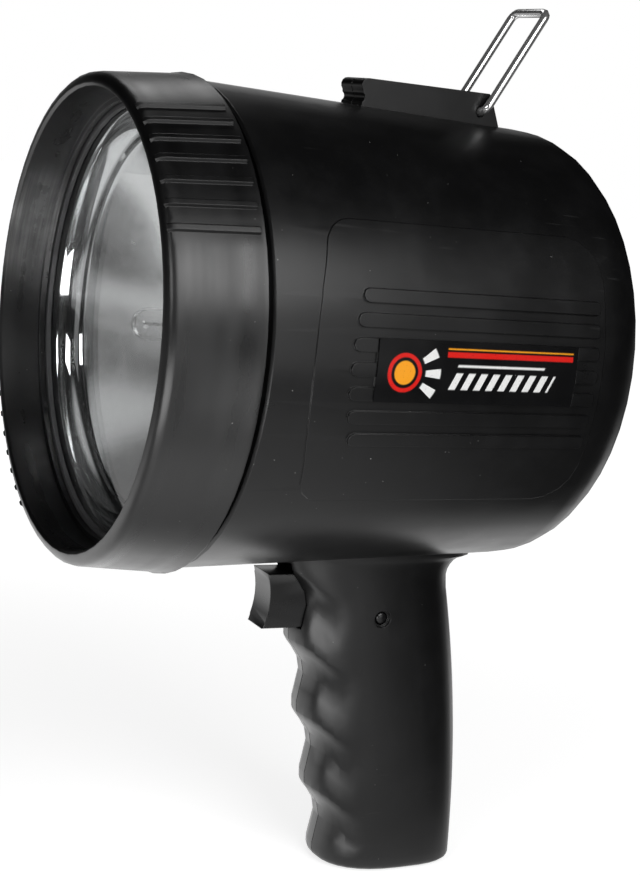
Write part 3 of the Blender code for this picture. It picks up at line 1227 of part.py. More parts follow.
def circuit_board():
    width, thick, height = BOARD_SIZE
    low = (-width / 2, BOARD_DEPTH, -BOARD_LEVEL - height / 2)
    board = block(low, (width / 2, BOARD_DEPTH + thick, height / 2 - BOARD_LEVEL))
    dress(as_object("circuit_board", board), material("board_green", (0.03, 0.16, 0.07), 0.5))
    parts = (("board_resistor", RESISTOR_R, RESISTOR_LENGTH, RESISTOR_LEVEL, (0.62, 0.5, 0.33)),)
    parts += (("board_diode", DIODE_R, DIODE_LENGTH, DIODE_LEVEL, (0.05, 0.05, 0.05)),)
    for name, radius, length, level, colour in parts:
        place = (0.0, BOARD_DEPTH - FIT_GAP - radius, -level)
        bm = rod(radius, -length / 2, length / 2, place, steps=SCREW_STEPS)
        dress(as_object(name, bm), material(name + "_body", colour, 0.45))


# Wires inside, each along a route from end to end in millimetres: x, depth, height

ROUTES = {
    "wire_battery_switch": (
        (22, 134.4, 58.8), (22, 134.4, 61), (25, 132.5, 63), (38, 123, 59), (56, 112, 36), (65.5, 110, 0),
        (56, 113, -40), (38, 120, -56), (19, 126, -63), (9, 129, -71.5), (5, 131.5, -79), (5, 131.5, -84.6),
    ),
    "wire_battery_bulb": (
        (-22, 134.4, 58.8), (-22, 134.4, 61), (-20, 131.5, 63.5), (-9, 112, 67.5), (-6, 98, 66.5),
        (-6, 88, 45), (-4.5, 84, 10), (-2.6, 82, 1), (-2.6, 78.6, 0),
    ),
    "wire_switch_bulb": (
        (-5, 131.5, -84.6), (-5, 131.5, -79), (-7, 122, -70.5), (-6, 100.5, -67.5), (-5, 92, -57),
        (-1.5, 86, -28), (2.6, 83, -3), (2.6, 78.6, 0),
    ),
    "wire_board_positive": (
        (8, 155.7, -10), (8.1, 154.5, -9), (10, 154.6, 20), (14, 154.3, 42), (20, 150, 52.4),
        (21, 143, 53.2), (21, 135.1, 53.2),
    ),
    "wire_board_negative": (
        (-8, 155.7, -10), (-8.1, 154.5, -9), (-10, 154.6, 20), (-14, 154.3, 42), (-20, 150, 52.4),
        (-21, 143, 53.2), (-21, 135.1, 53.2),
    ),
}
WIRE_COLOURS = {
    "wire_battery_switch": (0.6, 0.03, 0.02),
    "wire_battery_bulb": (0.02, 0.02, 0.02),
    "wire_switch_bulb": (0.7, 0.5, 0.03),
    "wire_board_positive": (0.6, 0.03, 0.02),
    "wire_board_negative": (0.02, 0.02, 0.02),
}


def smooth_route(knots):
    """Points along a Catmull-Rom curve through the knots, two for each stretch."""
    points = [Vector(knot) * MM for knot in knots]
    padded = [points[0]] + points + [points[-1]]
    route = []
    for before, start, end, after in zip(padded, padded[1:], padded[2:], padded[3:]):
        for share in (0.0, 0.5):
            pull, push = (end - before) / 2, (after - start) / 2
            a = 2 * start - 2 * end + pull + push
            b = 3 * end - 3 * start - 2 * pull - push
            route.append(((a * share + b) * share + pull) * share + start)
    route.append(points[-1])
    return route


def wires():
    for name, knots in ROUTES.items():
        tube(name, smooth_route(knots), WIRE_R, material(name + "_cover", WIRE_COLOURS[name], 0.45))


def main():
    clear_scene()
    frame = bpy.data.objects.new("lamp_frame", None)
    frame.location = (0.0, -LAMP_LENGTH / 2, AXIS_HEIGHT)
    bpy.context.scene.collection.objects.link(frame)
    housing()
    bezel_ring()
    lens()
    lens_gasket()
    reflector()
    bulb_glass()
    bulb_filament()
    bulb_base()
    bulb_holder()
    bulkhead()
    battery_case()
    battery_terminals()
    battery_pad()
    trigger()
    switch_body()
    switch_plunger()
    trigger_spring()
    lock_pin()
    bail_wire()
    label_plate()
    housing_screws()
    charge_socket()
    charge_led()
    circuit_board()
    wires()


main()
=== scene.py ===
"""Looks for the hand-held spotlight: materials, the smooth reflector, label artwork, studio and camera."""
from math import atan2, cos, pi, radians, sin

import bmesh
import bpy
import numpy as np
from mathutils import Matrix, Vector


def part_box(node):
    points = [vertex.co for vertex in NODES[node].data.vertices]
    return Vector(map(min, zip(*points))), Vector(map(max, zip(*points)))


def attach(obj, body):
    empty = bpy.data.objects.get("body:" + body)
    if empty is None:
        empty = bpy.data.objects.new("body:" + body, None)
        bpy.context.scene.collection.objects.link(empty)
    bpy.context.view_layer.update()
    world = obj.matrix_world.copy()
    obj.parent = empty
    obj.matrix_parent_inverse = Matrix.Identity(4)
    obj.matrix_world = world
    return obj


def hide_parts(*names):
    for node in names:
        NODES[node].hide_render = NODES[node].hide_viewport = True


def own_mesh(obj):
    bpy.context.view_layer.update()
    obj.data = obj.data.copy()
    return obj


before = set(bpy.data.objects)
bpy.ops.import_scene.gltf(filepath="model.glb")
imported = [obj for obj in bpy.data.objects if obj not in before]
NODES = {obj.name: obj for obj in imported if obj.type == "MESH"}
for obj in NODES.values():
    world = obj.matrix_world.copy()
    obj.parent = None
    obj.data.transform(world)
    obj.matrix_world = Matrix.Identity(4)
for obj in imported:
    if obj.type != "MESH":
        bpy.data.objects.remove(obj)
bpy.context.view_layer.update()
scene = bpy.context.scene

MM = 0.001
FRONT = Vector((0.0, -84.75 * MM, 187.0 * MM))


# Camera, at the photograph's angle


def add_camera():
    azimuth, elevation, roll = radians(61.539), radians(9.923), radians(6.497)
    back = Vector((sin(azimuth) * cos(elevation), -cos(azimuth) * cos(elevation), sin(elevation)))
    right = (-back).cross(Vector((0, 0, 1))).normalized()
    up = right.cross(-back)
    side = right * cos(roll) + up * sin(roll)
    top = up * cos(roll) - right * sin(roll)
    place = Vector((509.27, -269.64, 252.95)) * MM
    camera = bpy.data.cameras.new("photo_camera")
    camera.sensor_fit = "VERTICAL"
    camera.sensor_height = 36
    camera.lens = 72
    camera.clip_start = 0.01
    holder = bpy.data.objects.new("photo_camera", camera)
    holder.matrix_world = Matrix((
        (side.x, top.x, back.x, place.x),
        (side.y, top.y, back.y, place.y),
        (side.z, top.z, back.z, place.z),
        (0, 0, 0, 1),
    ))
    scene.collection.objects.link(holder)
    scene.camera = holder
    return -back, right


VIEW, ACROSS = add_camera()


# Smooth surface directions for the facets of the CAD nodes


def smooth_nodes(names, turned, angle):
    """Facets that stand for one curved surface get its directions. Those of a surface turned about the lamp's
    axis get the exact ones, so that holes and grooves cut into it leave no trace beside them."""
    limit = cos(radians(angle))
    for name in names:
        mesh = NODES[name].data
        count = len(mesh.polygons)
        points = np.empty(len(mesh.vertices) * 3)
        mesh.vertices.foreach_get("co", points)
        points = points.reshape(-1, 3)
        corners = np.empty(count * 3, int)
        mesh.loops.foreach_get("vertex_index", corners)
        corners = corners.reshape(-1, 3)
        places = points[corners]
        sides = [places[:, (k + 1) % 3] - places[:, k] for k in range(3)]
        normals = np.cross(sides[0], sides[1])
        area = np.linalg.norm(normals, axis=1)
        normals /= np.maximum(area, 1e-15)[:, None]
        weight = np.empty((count, 3))
        for k in range(3):
            a, b = sides[k], -sides[k - 1]
            cosine = (a * b).sum(1) / np.maximum(np.linalg.norm(a, axis=1) * np.linalg.norm(b, axis=1), 1e-15)
            weight[:, k] = np.arccos(np.clip(cosine, -1, 1)) * (area > 1e-10)

        def frame_at(where):
            out = where - np.array(FRONT)
            out[..., 1] = 0
            far = np.linalg.norm(out, axis=-1, keepdims=True)
            out = out / np.maximum(far, 1e-9)
            return out, np.stack([-out[..., 2], out[..., 1], out[..., 0]], -1), far[..., 0]

        out, across, _ = frame_at(places.mean(1))
        radial, sideways, along = (normals * out).sum(1), (normals * across).sum(1), normals[:, 1]
        corner_out, _, far = frame_at(places)
        spread = np.min([(corner_out[:, k] * corner_out[:, k - 1]).sum(1) for k in range(3)], axis=0)
        round_one = turned & (np.abs(sideways) < sin(radians(2.6))) & (spread > cos(radians(8.4)))
        round_one &= far.min(1) > 0.004
        keys = np.unique(np.round(places.reshape(-1, 3) / 2e-6).astype(int), axis=0, return_inverse=True)[1]
        keys = keys.reshape(-1)
        order = np.argsort(keys, kind="stable")
        starts = np.searchsorted(keys[order], np.arange(keys.max() + 2))
        result = np.repeat(normals[:, None], 3, 1)
        for slot in range(count * 3):
            face, k = divmod(slot, 3)
            near = order[starts[keys[slot]]:starts[keys[slot] + 1]]
            faces = near // 3
            alike = (normals[faces] @ normals[face] > limit) & (round_one[faces] == round_one[face])
            faces, share = faces[alike], weight[faces[alike], near[alike] % 3]
            if share.sum() < 1e-9:
                continue
            if round_one[face]:
                part = (share[:, None] * np.stack([radial[faces], along[faces]], 1)).sum(0)
                part /= np.linalg.norm(part)
                result[face, k] = part[0] * corner_out[face, k] + np.array([0, part[1], 0])
            else:
                mean = (share[:, None] * normals[faces]).sum(0)
                result[face, k] = mean / np.linalg.norm(mean)
        mesh.shade_smooth()
        mesh.normals_split_custom_set(result.reshape(-1, 3))


smooth_nodes(("housing_left", "housing_right", "bezel_ring", "lens_gasket", "bulkhead"), True, 31)
smooth_nodes(("trigger", "lock_pin", "bail_wire", "trigger_spring", "bulb_glass", "bulb_base"), False, 48)
smooth_nodes(("lens", "label_plate"), True, 31)


# Node helpers


class Shader:
    """A material or world node tree that is written as expressions."""

    def __init__(self, tree):
        self.tree = tree
        self.nodes = tree.nodes
        self.links = tree.links

    def add(self, kind, **settings):
        node = self.nodes.new("ShaderNode" + kind)
        for key, value in settings.items():
            setattr(node, key, value)
        return node

    def put(self, socket, value):
        if isinstance(value, bpy.types.NodeSocket):
            self.links.new(value, socket)
        elif isinstance(value, (tuple, list)) and socket.type == "RGBA" and len(value) == 3:
            socket.default_value = (*value, 1.0)
        else:
            socket.default_value = value

    def math(self, operation, a, b=0.0, clamp=False):
        node = self.add("Math", operation=operation, use_clamp=clamp)
        self.put(node.inputs[0], a)
        self.put(node.inputs[1], b)
        return node.outputs[0]

    def vector(self, operation, a, b):
        node = self.add("VectorMath", operation=operation)
        self.put(node.inputs[0], a)
        self.put(node.inputs[1], b)
        return node.outputs["Value"] if operation in ("DOT_PRODUCT", "DISTANCE") else node.outputs[0]

    def remap(self, value, low, high, start=0.0, end=1.0, smooth=True):
        node = self.add("MapRange", interpolation_type="SMOOTHSTEP" if smooth else "LINEAR")
        entries = {"Value": value, "From Min": low, "From Max": high, "To Min": start, "To Max": end}
        for name, entry in entries.items():
            self.put(node.inputs[name], entry)
        return node.outputs[0]

    def blend(self, amount, a, b):
        node = self.add("Mix", data_type="RGBA")
        self.put(node.inputs["Factor"], amount)
        self.put(node.inputs[6], a)
        self.put(node.inputs[7], b)
        return node.outputs[2]

    def noise(self, place, scale, detail=2.0, rough=0.5):
        node = self.add("TexNoise")
        self.put(node.inputs["Vector"], place)
        for name, entry in (("Scale", scale), ("Detail", detail), ("Roughness", rough)):
            self.put(node.inputs[name], entry)
        return node.outputs["Fac"]

    def cells(self, place, scale):
        """Distance to the nearest of scattered points, and a random number for each point."""
        node = self.add("TexVoronoi")
        self.put(node.inputs["Vector"], place)
        self.put(node.inputs["Scale"], scale)
        split = self.add("SeparateColor")
        self.put(split.inputs[0], node.outputs["Color"])
        return node.outputs["Distance"], split.outputs[0]

    def object_place(self):
        return self.add("TexCoord").outputs["Object"]

    def scaled(self, place, scale):
        return self.vector("MULTIPLY", place, scale)

    def axes(self, place):
        node = self.add("SeparateXYZ")
        self.put(node.inputs[0], place)
        return node.outputs

    def bump(self, height, strength, distance, normal=None):
        node = self.add("Bump")
        self.put(node.inputs["Height"], height)
        node.inputs["Strength"].default_value = strength
        node.inputs["Distance"].default_value = distance
        if normal is not None:
            self.put(node.inputs["Normal"], normal)
        return node.outputs[0]

    def rounded(self, radius):
        """Surface directions with the sharp edges rounded off."""
        node = self.add("Bevel", samples=4)
        node.inputs["Radius"].default_value = radius
        return node.outputs[0]


def new_material(name):
    made = bpy.data.materials.new(name)
    made.use_nodes = True
    made.node_tree.nodes.clear()
    return made, Shader(made.node_tree)


def close(sh, surface):
    out = sh.add("OutputMaterial")
    sh.links.new(surface, out.inputs["Surface"])


def principled(sh, **sockets):
    node = sh.add("BsdfPrincipled")
    for name, value in sockets.items():
        sh.put(node.inputs[name.replace("_", " ")], value)
    return node


def specks(sh, place, scale, size, share):
    """1 on small scattered spots, 0 between them."""
    distance, pick = sh.cells(place, scale)
    spot = sh.remap(distance, size * 0.5, size, 1.0, 0.0)
    return sh.math("MULTIPLY", spot, sh.math("GREATER_THAN", pick, 1 - share))


# Materials


def painted_hood_highlight(sh, place):
    """A painted highlight on the inner wall of the hood, left of the lens: a streaky pale patch in the colour that
    stands in for reflected light there.
    """
    x, y, z = sh.axes(place)
    streaks = sh.remap(sh.noise(sh.scaled(place, (0.02, 1.0, 0.02)), 1300.0, 3.0, 0.7), 0.3, 0.75, 0.35, 1.0)
    band = sh.math("MULTIPLY", sh.remap(z, 0.188, 0.212), sh.remap(z, 0.214, 0.236, 1.0, 0.0))
    inner = sh.math("MULTIPLY", sh.remap(x, -0.073, -0.0715), sh.remap(x, -0.062, -0.050, 1.0, 0.0))
    cloud = sh.remap(sh.noise(place, 70.0, 3.0), 0.35, 0.65, 0.5, 1.0)
    return sh.math("MULTIPLY", sh.math("MULTIPLY", streaks, cloud), sh.math("MULTIPLY", band, inner))


def moulded_black(name, colour, roughness, grain=0.5, turned=False, edge=0.35 * MM, dusty=1.0):
    """Black moulded plastic with a fine grain and a little dust. A turned one has fine rings and a painted highlight,
    a pale streaky patch on the hood's inner wall, and the others have handling marks."""
    made, sh = new_material(name)
    place = sh.object_place()
    slow = sh.noise(place, 22.0, 4.0, 0.6)
    cloudy = sh.noise(place, 70.0, 5.0, 0.65)
    rough = sh.math("ADD", roughness, sh.remap(slow, 0.3, 0.7, -0.035, 0.045, smooth=False))
    rough = sh.math("ADD", rough, sh.remap(cloudy, 0.35, 0.7, -0.015, 0.03, smooth=False))
    marks = sh.remap(sh.noise(sh.scaled(place, (1.0, 0.07, 1.0)), 700.0, 1.0), 0.70, 0.76)
    most = 0.0 if turned else 1.0
    marks = sh.math("MULTIPLY", marks, sh.remap(sh.noise(place, 30.0, 2.0), 0.52, 0.62, 0.0, most))
    rough = sh.math("ADD", rough, sh.math("MULTIPLY", marks, 0.03))
    dust = specks(sh, place, 210.0, 0.055, 0.09 * dusty)
    fine_dust = specks(sh, place, 520.0, 0.10, 0.05 * dusty)
    pale = sh.math("MAXIMUM", dust, fine_dust)
    tint = sh.blend(sh.remap(cloudy, 0.4, 0.75, 0.0, 1.0), colour, [c * 1.5 + 0.0005 for c in colour])
    tint = sh.blend(sh.math("MULTIPLY", marks, 0.4), tint, (0.02, 0.02, 0.02))
    tint = sh.blend(sh.math("MULTIPLY", pale, 0.55), tint, (0.35, 0.35, 0.34))
    if turned:
        # painted highlight: pale streaks on the hood's inner wall where reflected light would be
        tint = sh.blend(painted_hood_highlight(sh, place), tint, (0.30, 0.30, 0.30))
    height = sh.noise(place, 2600.0, 2.0, 0.6)
    normal = sh.bump(height, grain, 0.02 * MM, sh.rounded(edge))
    if turned:
        across = sh.scaled(place, (0.02, 1.0, 0.02))
        streak = sh.noise(across, 900.0, 3.0, 0.7)
        wide = sh.noise(across, 160.0, 2.0, 0.5)
        normal = sh.bump(streak, 0.35, 0.01 * MM, normal)
        rough = sh.math("ADD", rough, sh.remap(wide, 0.3, 0.7, -0.05, 0.06, smooth=False))
    slow_wave = sh.noise(place, 45.0, 1.0, 0.4)
    normal = sh.bump(slow_wave, 0.12, 0.5 * MM, normal)
    shader = principled(sh, Base_Color=tint, Roughness=rough, Normal=normal, IOR=1.58)
    close(sh, shader.outputs[0])
    return made


def plain_metal(name, colour, roughness, grain=0.2, scale=1500.0, metallic=1.0, edge=0.2 * MM):
    made, sh = new_material(name)
    place = sh.object_place()
    cloudy = sh.noise(place, 120.0, 4.0, 0.6)
    rough = sh.math("ADD", roughness, sh.remap(cloudy, 0.3, 0.7, -0.03, 0.06, smooth=False))
    tint = sh.blend(sh.remap(cloudy, 0.45, 0.8), colour, [c * 0.8 for c in colour])
    normal = sh.bump(sh.noise(place, scale, 2.0), grain, 0.01 * MM, sh.rounded(edge) if edge else None)
    shader = principled(sh, Base_Color=tint, Metallic=metallic, Roughness=rough, Normal=normal)
    close(sh, shader.outputs[0])
    return made


def plain_plastic(name, colour, roughness, grain=0.25, scale=1800.0):
    made, sh = new_material(name)
    place = sh.object_place()
    cloudy = sh.noise(place, 90.0, 4.0, 0.6)
    rough = sh.math("ADD", roughness, sh.remap(cloudy, 0.3, 0.7, -0.04, 0.06, smooth=False))
    tint = sh.blend(sh.remap(cloudy, 0.4, 0.8), colour, [c * 0.82 for c in colour])
    normal = sh.bump(sh.noise(place, scale, 2.0), grain, 0.02 * MM, sh.rounded(0.2 * MM))
    shader = principled(sh, Base_Color=tint, Roughness=rough, Normal=normal, IOR=1.5)
    close(sh, shader.outputs[0])
    return made


def clear_glass(name, tint, roughness, ior, dusty):
    """Clear plastic or glass that lets the studio light through to what lies behind it."""
    made, sh = new_material(name)
    place = sh.object_place()
    smear = sh.noise(place, 30.0, 4.0, 0.6)
    rough = sh.math("ADD", roughness, sh.remap(smear, 0.5, 0.8, 0.0, 0.03))
    shader = principled(
        sh, Base_Color=tint, Roughness=rough, IOR=ior, Transmission_Weight=1.0,
        Normal=sh.bump(sh.noise(place, 60.0, 2.0), 0.02, 0.2 * MM),
    )
    surface = shader.outputs[0]
    if dusty:
        grit = sh.math("MAXIMUM", specks(sh, place, 170.0, 0.05, 0.16), specks(sh, place, 420.0, 0.10, 0.10))
        film = sh.remap(sh.noise(place, 18.0, 5.0, 0.65), 0.5, 0.85, 0.0, 0.05)
        cover = sh.math("MAXIMUM", sh.math("MULTIPLY", grit, 0.7), film)
        grey = sh.add("BsdfDiffuse")
        grey.inputs["Color"].default_value = (0.75, 0.75, 0.74, 1)
        mixed = sh.add("MixShader")
        sh.put(mixed.inputs[0], cover)
        sh.links.new(surface, mixed.inputs[1])
        sh.links.new(grey.outputs[0], mixed.inputs[2])
        surface = mixed.outputs[0]
    through = sh.add("BsdfTransparent")
    through.inputs["Color"].default_value = (*[0.93 * c for c in tint], 1)
    last = sh.add("MixShader")
    sh.put(last.inputs[0], sh.add("LightPath").outputs["Is Shadow Ray"])
    sh.links.new(surface, last.inputs[1])
    sh.links.new(through.outputs[0], last.inputs[2])
    close(sh, last.outputs[0])
    return made


def reflector_metal():
    """Vacuum-metallised plastic: a mirror-bright band in front and a hazier bowl with faint ripples and specks."""
    made, sh = new_material("reflector_metal")
    place = sh.object_place()
    _, y, _ = sh.axes(place)
    bowl_share = sh.remap(y, FRONT.y + 28.3 * MM, FRONT.y + 28.9 * MM)
    haze = sh.noise(place, 40.0, 5.0, 0.6)
    soft = sh.remap(haze, 0.35, 0.75, 0.17, 0.30)
    clear = sh.remap(haze, 0.35, 0.75, 0.03, 0.07)
    rough = sh.math("ADD", sh.math("MULTIPLY", bowl_share, sh.math("SUBTRACT", soft, clear)), clear)
    dots = sh.math("MAXIMUM", specks(sh, place, 260.0, 0.06, 0.12), specks(sh, place, 620.0, 0.10, 0.08))
    tint = sh.blend(haze, (0.80, 0.805, 0.81), (0.92, 0.925, 0.93))
    tint = sh.blend(sh.math("MULTIPLY", dots, 0.6), tint, (0.40, 0.40, 0.39))
    ripple = sh.noise(place, 26.0, 2.0, 0.4)
    normal = sh.bump(ripple, 0.16, 1.0 * MM)
    normal = sh.bump(sh.noise(place, 900.0, 1.0), 0.05, 0.02 * MM, normal)
    shader = principled(sh, Base_Color=tint, Metallic=1.0, Roughness=rough, Normal=normal)
    close(sh, shader.outputs[0])
    return made


def label_film():
    """Glossy black film with a generic print: a lamp and its rays, slanted bars and a red rule."""
    made, sh = new_material("label_film")
    place = sh.object_place()
    _, y, z = sh.axes(place)
    low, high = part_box("label_plate")
    middle, half = (low[1] + high[1]) / 2, (high[1] - low[1]) / 2
    across = sh.math("DIVIDE", sh.math("SUBTRACT", y, middle), 1.12 * half)
    height = sh.math("DIVIDE", sh.math("SUBTRACT", z, (low[2] + high[2]) / 2), 1.12 * half)
    wobble = sh.noise(place, 1400.0, 1.0)
    blur = 0.006

    def within(value, start, end):
        after = sh.remap(value, start - blur, start + blur)
        return sh.math("MULTIPLY", after, sh.remap(value, end - blur, end + blur, 1.0, 0.0))

    def both(a, b):
        return sh.math("MULTIPLY", a, b)

    out = sh.math("SUBTRACT", across, -0.66)
    up = sh.math("SUBTRACT", height, -0.01)
    far = sh.math("SQRT", sh.math("ADD", sh.math("MULTIPLY", out, out), sh.math("MULTIPLY", up, up)))
    turn = sh.math("ARCTAN2", up, out)
    disc = within(far, -1.0, 0.088)
    ring = within(far, 0.115, 0.145)
    rays = both(within(far, 0.18, 0.31), within(sh.math("COSINE", sh.math("MULTIPLY", turn, 12.0)), 0.1, 2.0))
    rays = both(rays, within(turn, -0.7, 0.7))
    slant = sh.math("ADD", across, sh.math("MULTIPLY", height, -0.45))
    step = sh.math("FRACT", sh.math("MULTIPLY", sh.math("ADD", slant, 1.0), 9.0))
    bars = both(within(step, 0.12, 0.66), within(slant, -0.225, 0.70))
    bars = both(bars, within(height, -0.125, 0.0))
    thin_bars = both(within(slant, -0.225, 0.565), within(height, 0.045, 0.062))
    rule = both(within(across, -0.3, 0.85), within(height, 0.115, 0.155))
    yellow = both(within(across, -0.3, 0.85), within(height, 0.172, 0.182))
    black, white = (0.004, 0.004, 0.0043), (0.74, 0.74, 0.73)
    red, amber = (0.62, 0.014, 0.010), (0.82, 0.32, 0.015)
    colour = sh.blend(sh.math("MAXIMUM", rays, sh.math("MAXIMUM", bars, thin_bars)), black, white)
    colour = sh.blend(sh.math("MAXIMUM", disc, yellow), colour, amber)
    colour = sh.blend(sh.math("MAXIMUM", ring, rule), colour, red)
    colour = sh.blend(sh.remap(wobble, 0.62, 0.8, 0.0, 0.25), colour, black)
    dust = specks(sh, place, 420.0, 0.09, 0.06)
    colour = sh.blend(sh.math("MULTIPLY", dust, 0.4), colour, (0.4, 0.4, 0.4))
    rough = sh.remap(sh.noise(place, 60.0, 4.0), 0.3, 0.7, 0.16, 0.26)
    normal = sh.bump(sh.noise(place, 90.0, 2.0), 0.05, 0.3 * MM)
    shader = principled(sh, Base_Color=colour, Roughness=rough, IOR=1.5, Normal=normal, Specular_IOR_Level=0.4)
    close(sh, shader.outputs[0])
    return made


def finish_nodes():
    black = moulded_black("housing_black", (0.003, 0.003, 0.0032), 0.31)
    bezel = moulded_black("bezel_black", (0.003, 0.003, 0.0032), 0.30, turned=True)
    lever = moulded_black("trigger_black", (0.005, 0.005, 0.0053), 0.27, grain=0.2, dusty=0.6)
    finishes = {
        "housing_left": black, "housing_right": black, "bezel_ring": bezel, "trigger": lever, "lock_pin": lever,
        "lens": clear_glass("lens_clear", (0.97, 0.98, 0.98), 0.0, 1.49, True),
        "bulb_glass": clear_glass("bulb_clear", (0.98, 0.98, 0.98), 0.0, 1.46, False),
        "lens_gasket": plain_plastic("gasket_grey", (0.06, 0.06, 0.062), 0.32),
        "bulb_filament": plain_metal("filament_metal", (0.5, 0.5, 0.5), 0.25),
        "bulb_base": plain_metal("bulb_base_metal", (0.62, 0.61, 0.58), 0.28),
        "bulb_holder": plain_plastic("holder_cream", (0.7, 0.68, 0.62), 0.5),
        "bulkhead": plain_plastic("inner_black", (0.03, 0.03, 0.033), 0.5),
        "battery_case": plain_plastic("battery_grey", (0.06, 0.06, 0.065), 0.5),
        "battery_terminal_positive": plain_metal("terminal_tin", (0.75, 0.72, 0.6), 0.3),
        "battery_pad": plain_plastic("pad_foam", (0.02, 0.02, 0.02), 0.9, grain=1.0, scale=700.0),
        "switch_body": plain_plastic("switch_black", (0.025, 0.025, 0.03), 0.4),
        "switch_plunger": plain_plastic("plunger_red", (0.5, 0.06, 0.04), 0.4),
        "trigger_spring": plain_metal("spring_wire", (0.6, 0.6, 0.6), 0.28),
        "bail_wire": plain_metal("bright_wire", (0.95, 0.95, 0.95), 0.12, scale=300.0, metallic=0.88, edge=0),
        "label_plate": label_film(),
        "charge_socket": plain_plastic("socket_black", (0.012, 0.012, 0.012), 0.35),
        "charge_led": plain_plastic("led_red", (0.55, 0.02, 0.02), 0.12),
        "circuit_board": plain_plastic("board_green", (0.02, 0.13, 0.05), 0.35),
        "board_resistor": plain_plastic("resistor_tan", (0.6, 0.48, 0.3), 0.45),
        "board_diode": plain_plastic("diode_black", (0.03, 0.03, 0.03), 0.35),
        "wire_battery_switch": plain_plastic("wire_red", (0.55, 0.03, 0.02), 0.35),
        "wire_battery_bulb": plain_plastic("wire_black", (0.015, 0.015, 0.015), 0.35),
        "wire_switch_bulb": plain_plastic("wire_yellow", (0.7, 0.5, 0.03), 0.35),
    }
    finishes["battery_terminal_negative"] = finishes["battery_terminal_positive"]
    finishes["wire_board_positive"] = finishes["wire_battery_switch"]
    finishes["wire_board_negative"] = finishes["wire_battery_bulb"]
    screw = plain_metal("screw_black_steel", (0.12, 0.12, 0.12), 0.35)
    for number in range(1, 7):
        finishes[f"housing_screw_{number}"] = screw
    for name, finish in finishes.items():
        for slot in NODES[name].material_slots:
            slot.material = finish


finish_nodes()


# The reflector, turned from a fine profile so that its mirror shows no facets. Sizes here are in millimetres.

FOCUS = 29.0
BOWL_FRONT, BOWL_R, SOCKET_R, WALL = 28.6, 59.6, 9.0, 1.8
FLANGE_FRONT, FLANGE_BACK, FLANGE_R = 20.4, 22.4, 73.6
SOCKET_LENGTH = 8.0
TURN_STEPS = 160


def bowl(radius):
    """Depth of the paraboloid at a radius."""
    return BOWL_FRONT + (BOWL_R ** 2 - radius ** 2) / (4 * FOCUS)


def spun(name, profile, steps):
    """A closed (depth, radius) outline in millimetres turned about the lamp's axis."""
    bm = bmesh.new()
    rings = []
    for depth, radius in profile:
        ring = []
        for i in range(steps):
            turn = 2 * pi * i / steps
            ring.append(bm.verts.new(FRONT + Vector((radius * cos(turn), depth, radius * sin(turn))) * MM))
        rings.append(ring)
    for ring, after in zip(rings, rings[1:] + rings[:1]):
        for i in range(steps):
            j = (i + 1) % steps
            bm.faces.new((ring[i], ring[j], after[j], after[i]))
    bmesh.ops.recalc_face_normals(bm, faces=bm.faces)
    mesh = bpy.data.meshes.new(name)
    bm.to_mesh(mesh)
    bm.free()
    made = bpy.data.objects.new(name, mesh)
    scene.collection.objects.link(made)
    mesh.shade_smooth()
    mesh.set_sharp_from_angle(angle=radians(24))
    return made


def add_reflector():
    front = [(FLANGE_FRONT, FLANGE_R), (FLANGE_FRONT, 67.2), (20.7, 66.5)]
    for i in range(13):
        share = i / 12
        sag = 4 * 0.9 * share * (1 - share)
        front.append((21.2 + 6.0 * share + 0.62 * sag, 66.1 - 4.8 * share + 0.78 * sag))
    front += [(28.0, 60.8), (28.2, 60.2), (BOWL_FRONT, BOWL_R)]
    inside = [(bowl(r), r) for r in np.linspace(BOWL_R - 1, SOCKET_R + 0.6, 56)]
    socket = bowl(SOCKET_R)
    inside += [(socket + 0.1, SOCKET_R + 0.15), (socket + 0.6, SOCKET_R), (socket + SOCKET_LENGTH, SOCKET_R)]
    outside = [(socket + SOCKET_LENGTH, SOCKET_R + WALL)]
    for r in np.linspace(SOCKET_R + WALL, BOWL_R, 20):
        slope = atan2(r, 2 * FOCUS)
        outside.append((bowl(r) + WALL * cos(slope), r + (0 if r < 11 else WALL * sin(slope))))
    outside += [(FLANGE_BACK, 68.2), (FLANGE_BACK, FLANGE_R)]
    made = spun("reflector_mirror", front + inside + outside, TURN_STEPS)
    made.data.materials.append(reflector_metal())
    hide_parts("reflector")
    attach(made, "housing")


add_reflector()


# The tongue that closes the grip's seam from inside, and the trigger's spring. The tongue's sizes are in millimetres.

TONGUE_FRONT, TONGUE_BOTTOM, TONGUE_TOP = 30.0, 3.6, 106.0
TONGUE_HALF, TONGUE_THICK, TONGUE_GAP, TONGUE_STEPS = 1.5, 0.8, 0.9, 26
REAR_WALL_HEIGHTS, REAR_WALL_DEPTHS = (0.0, 44.0, 83.0, 110.0), (71.5, 67.8, 60.9, 53.7)


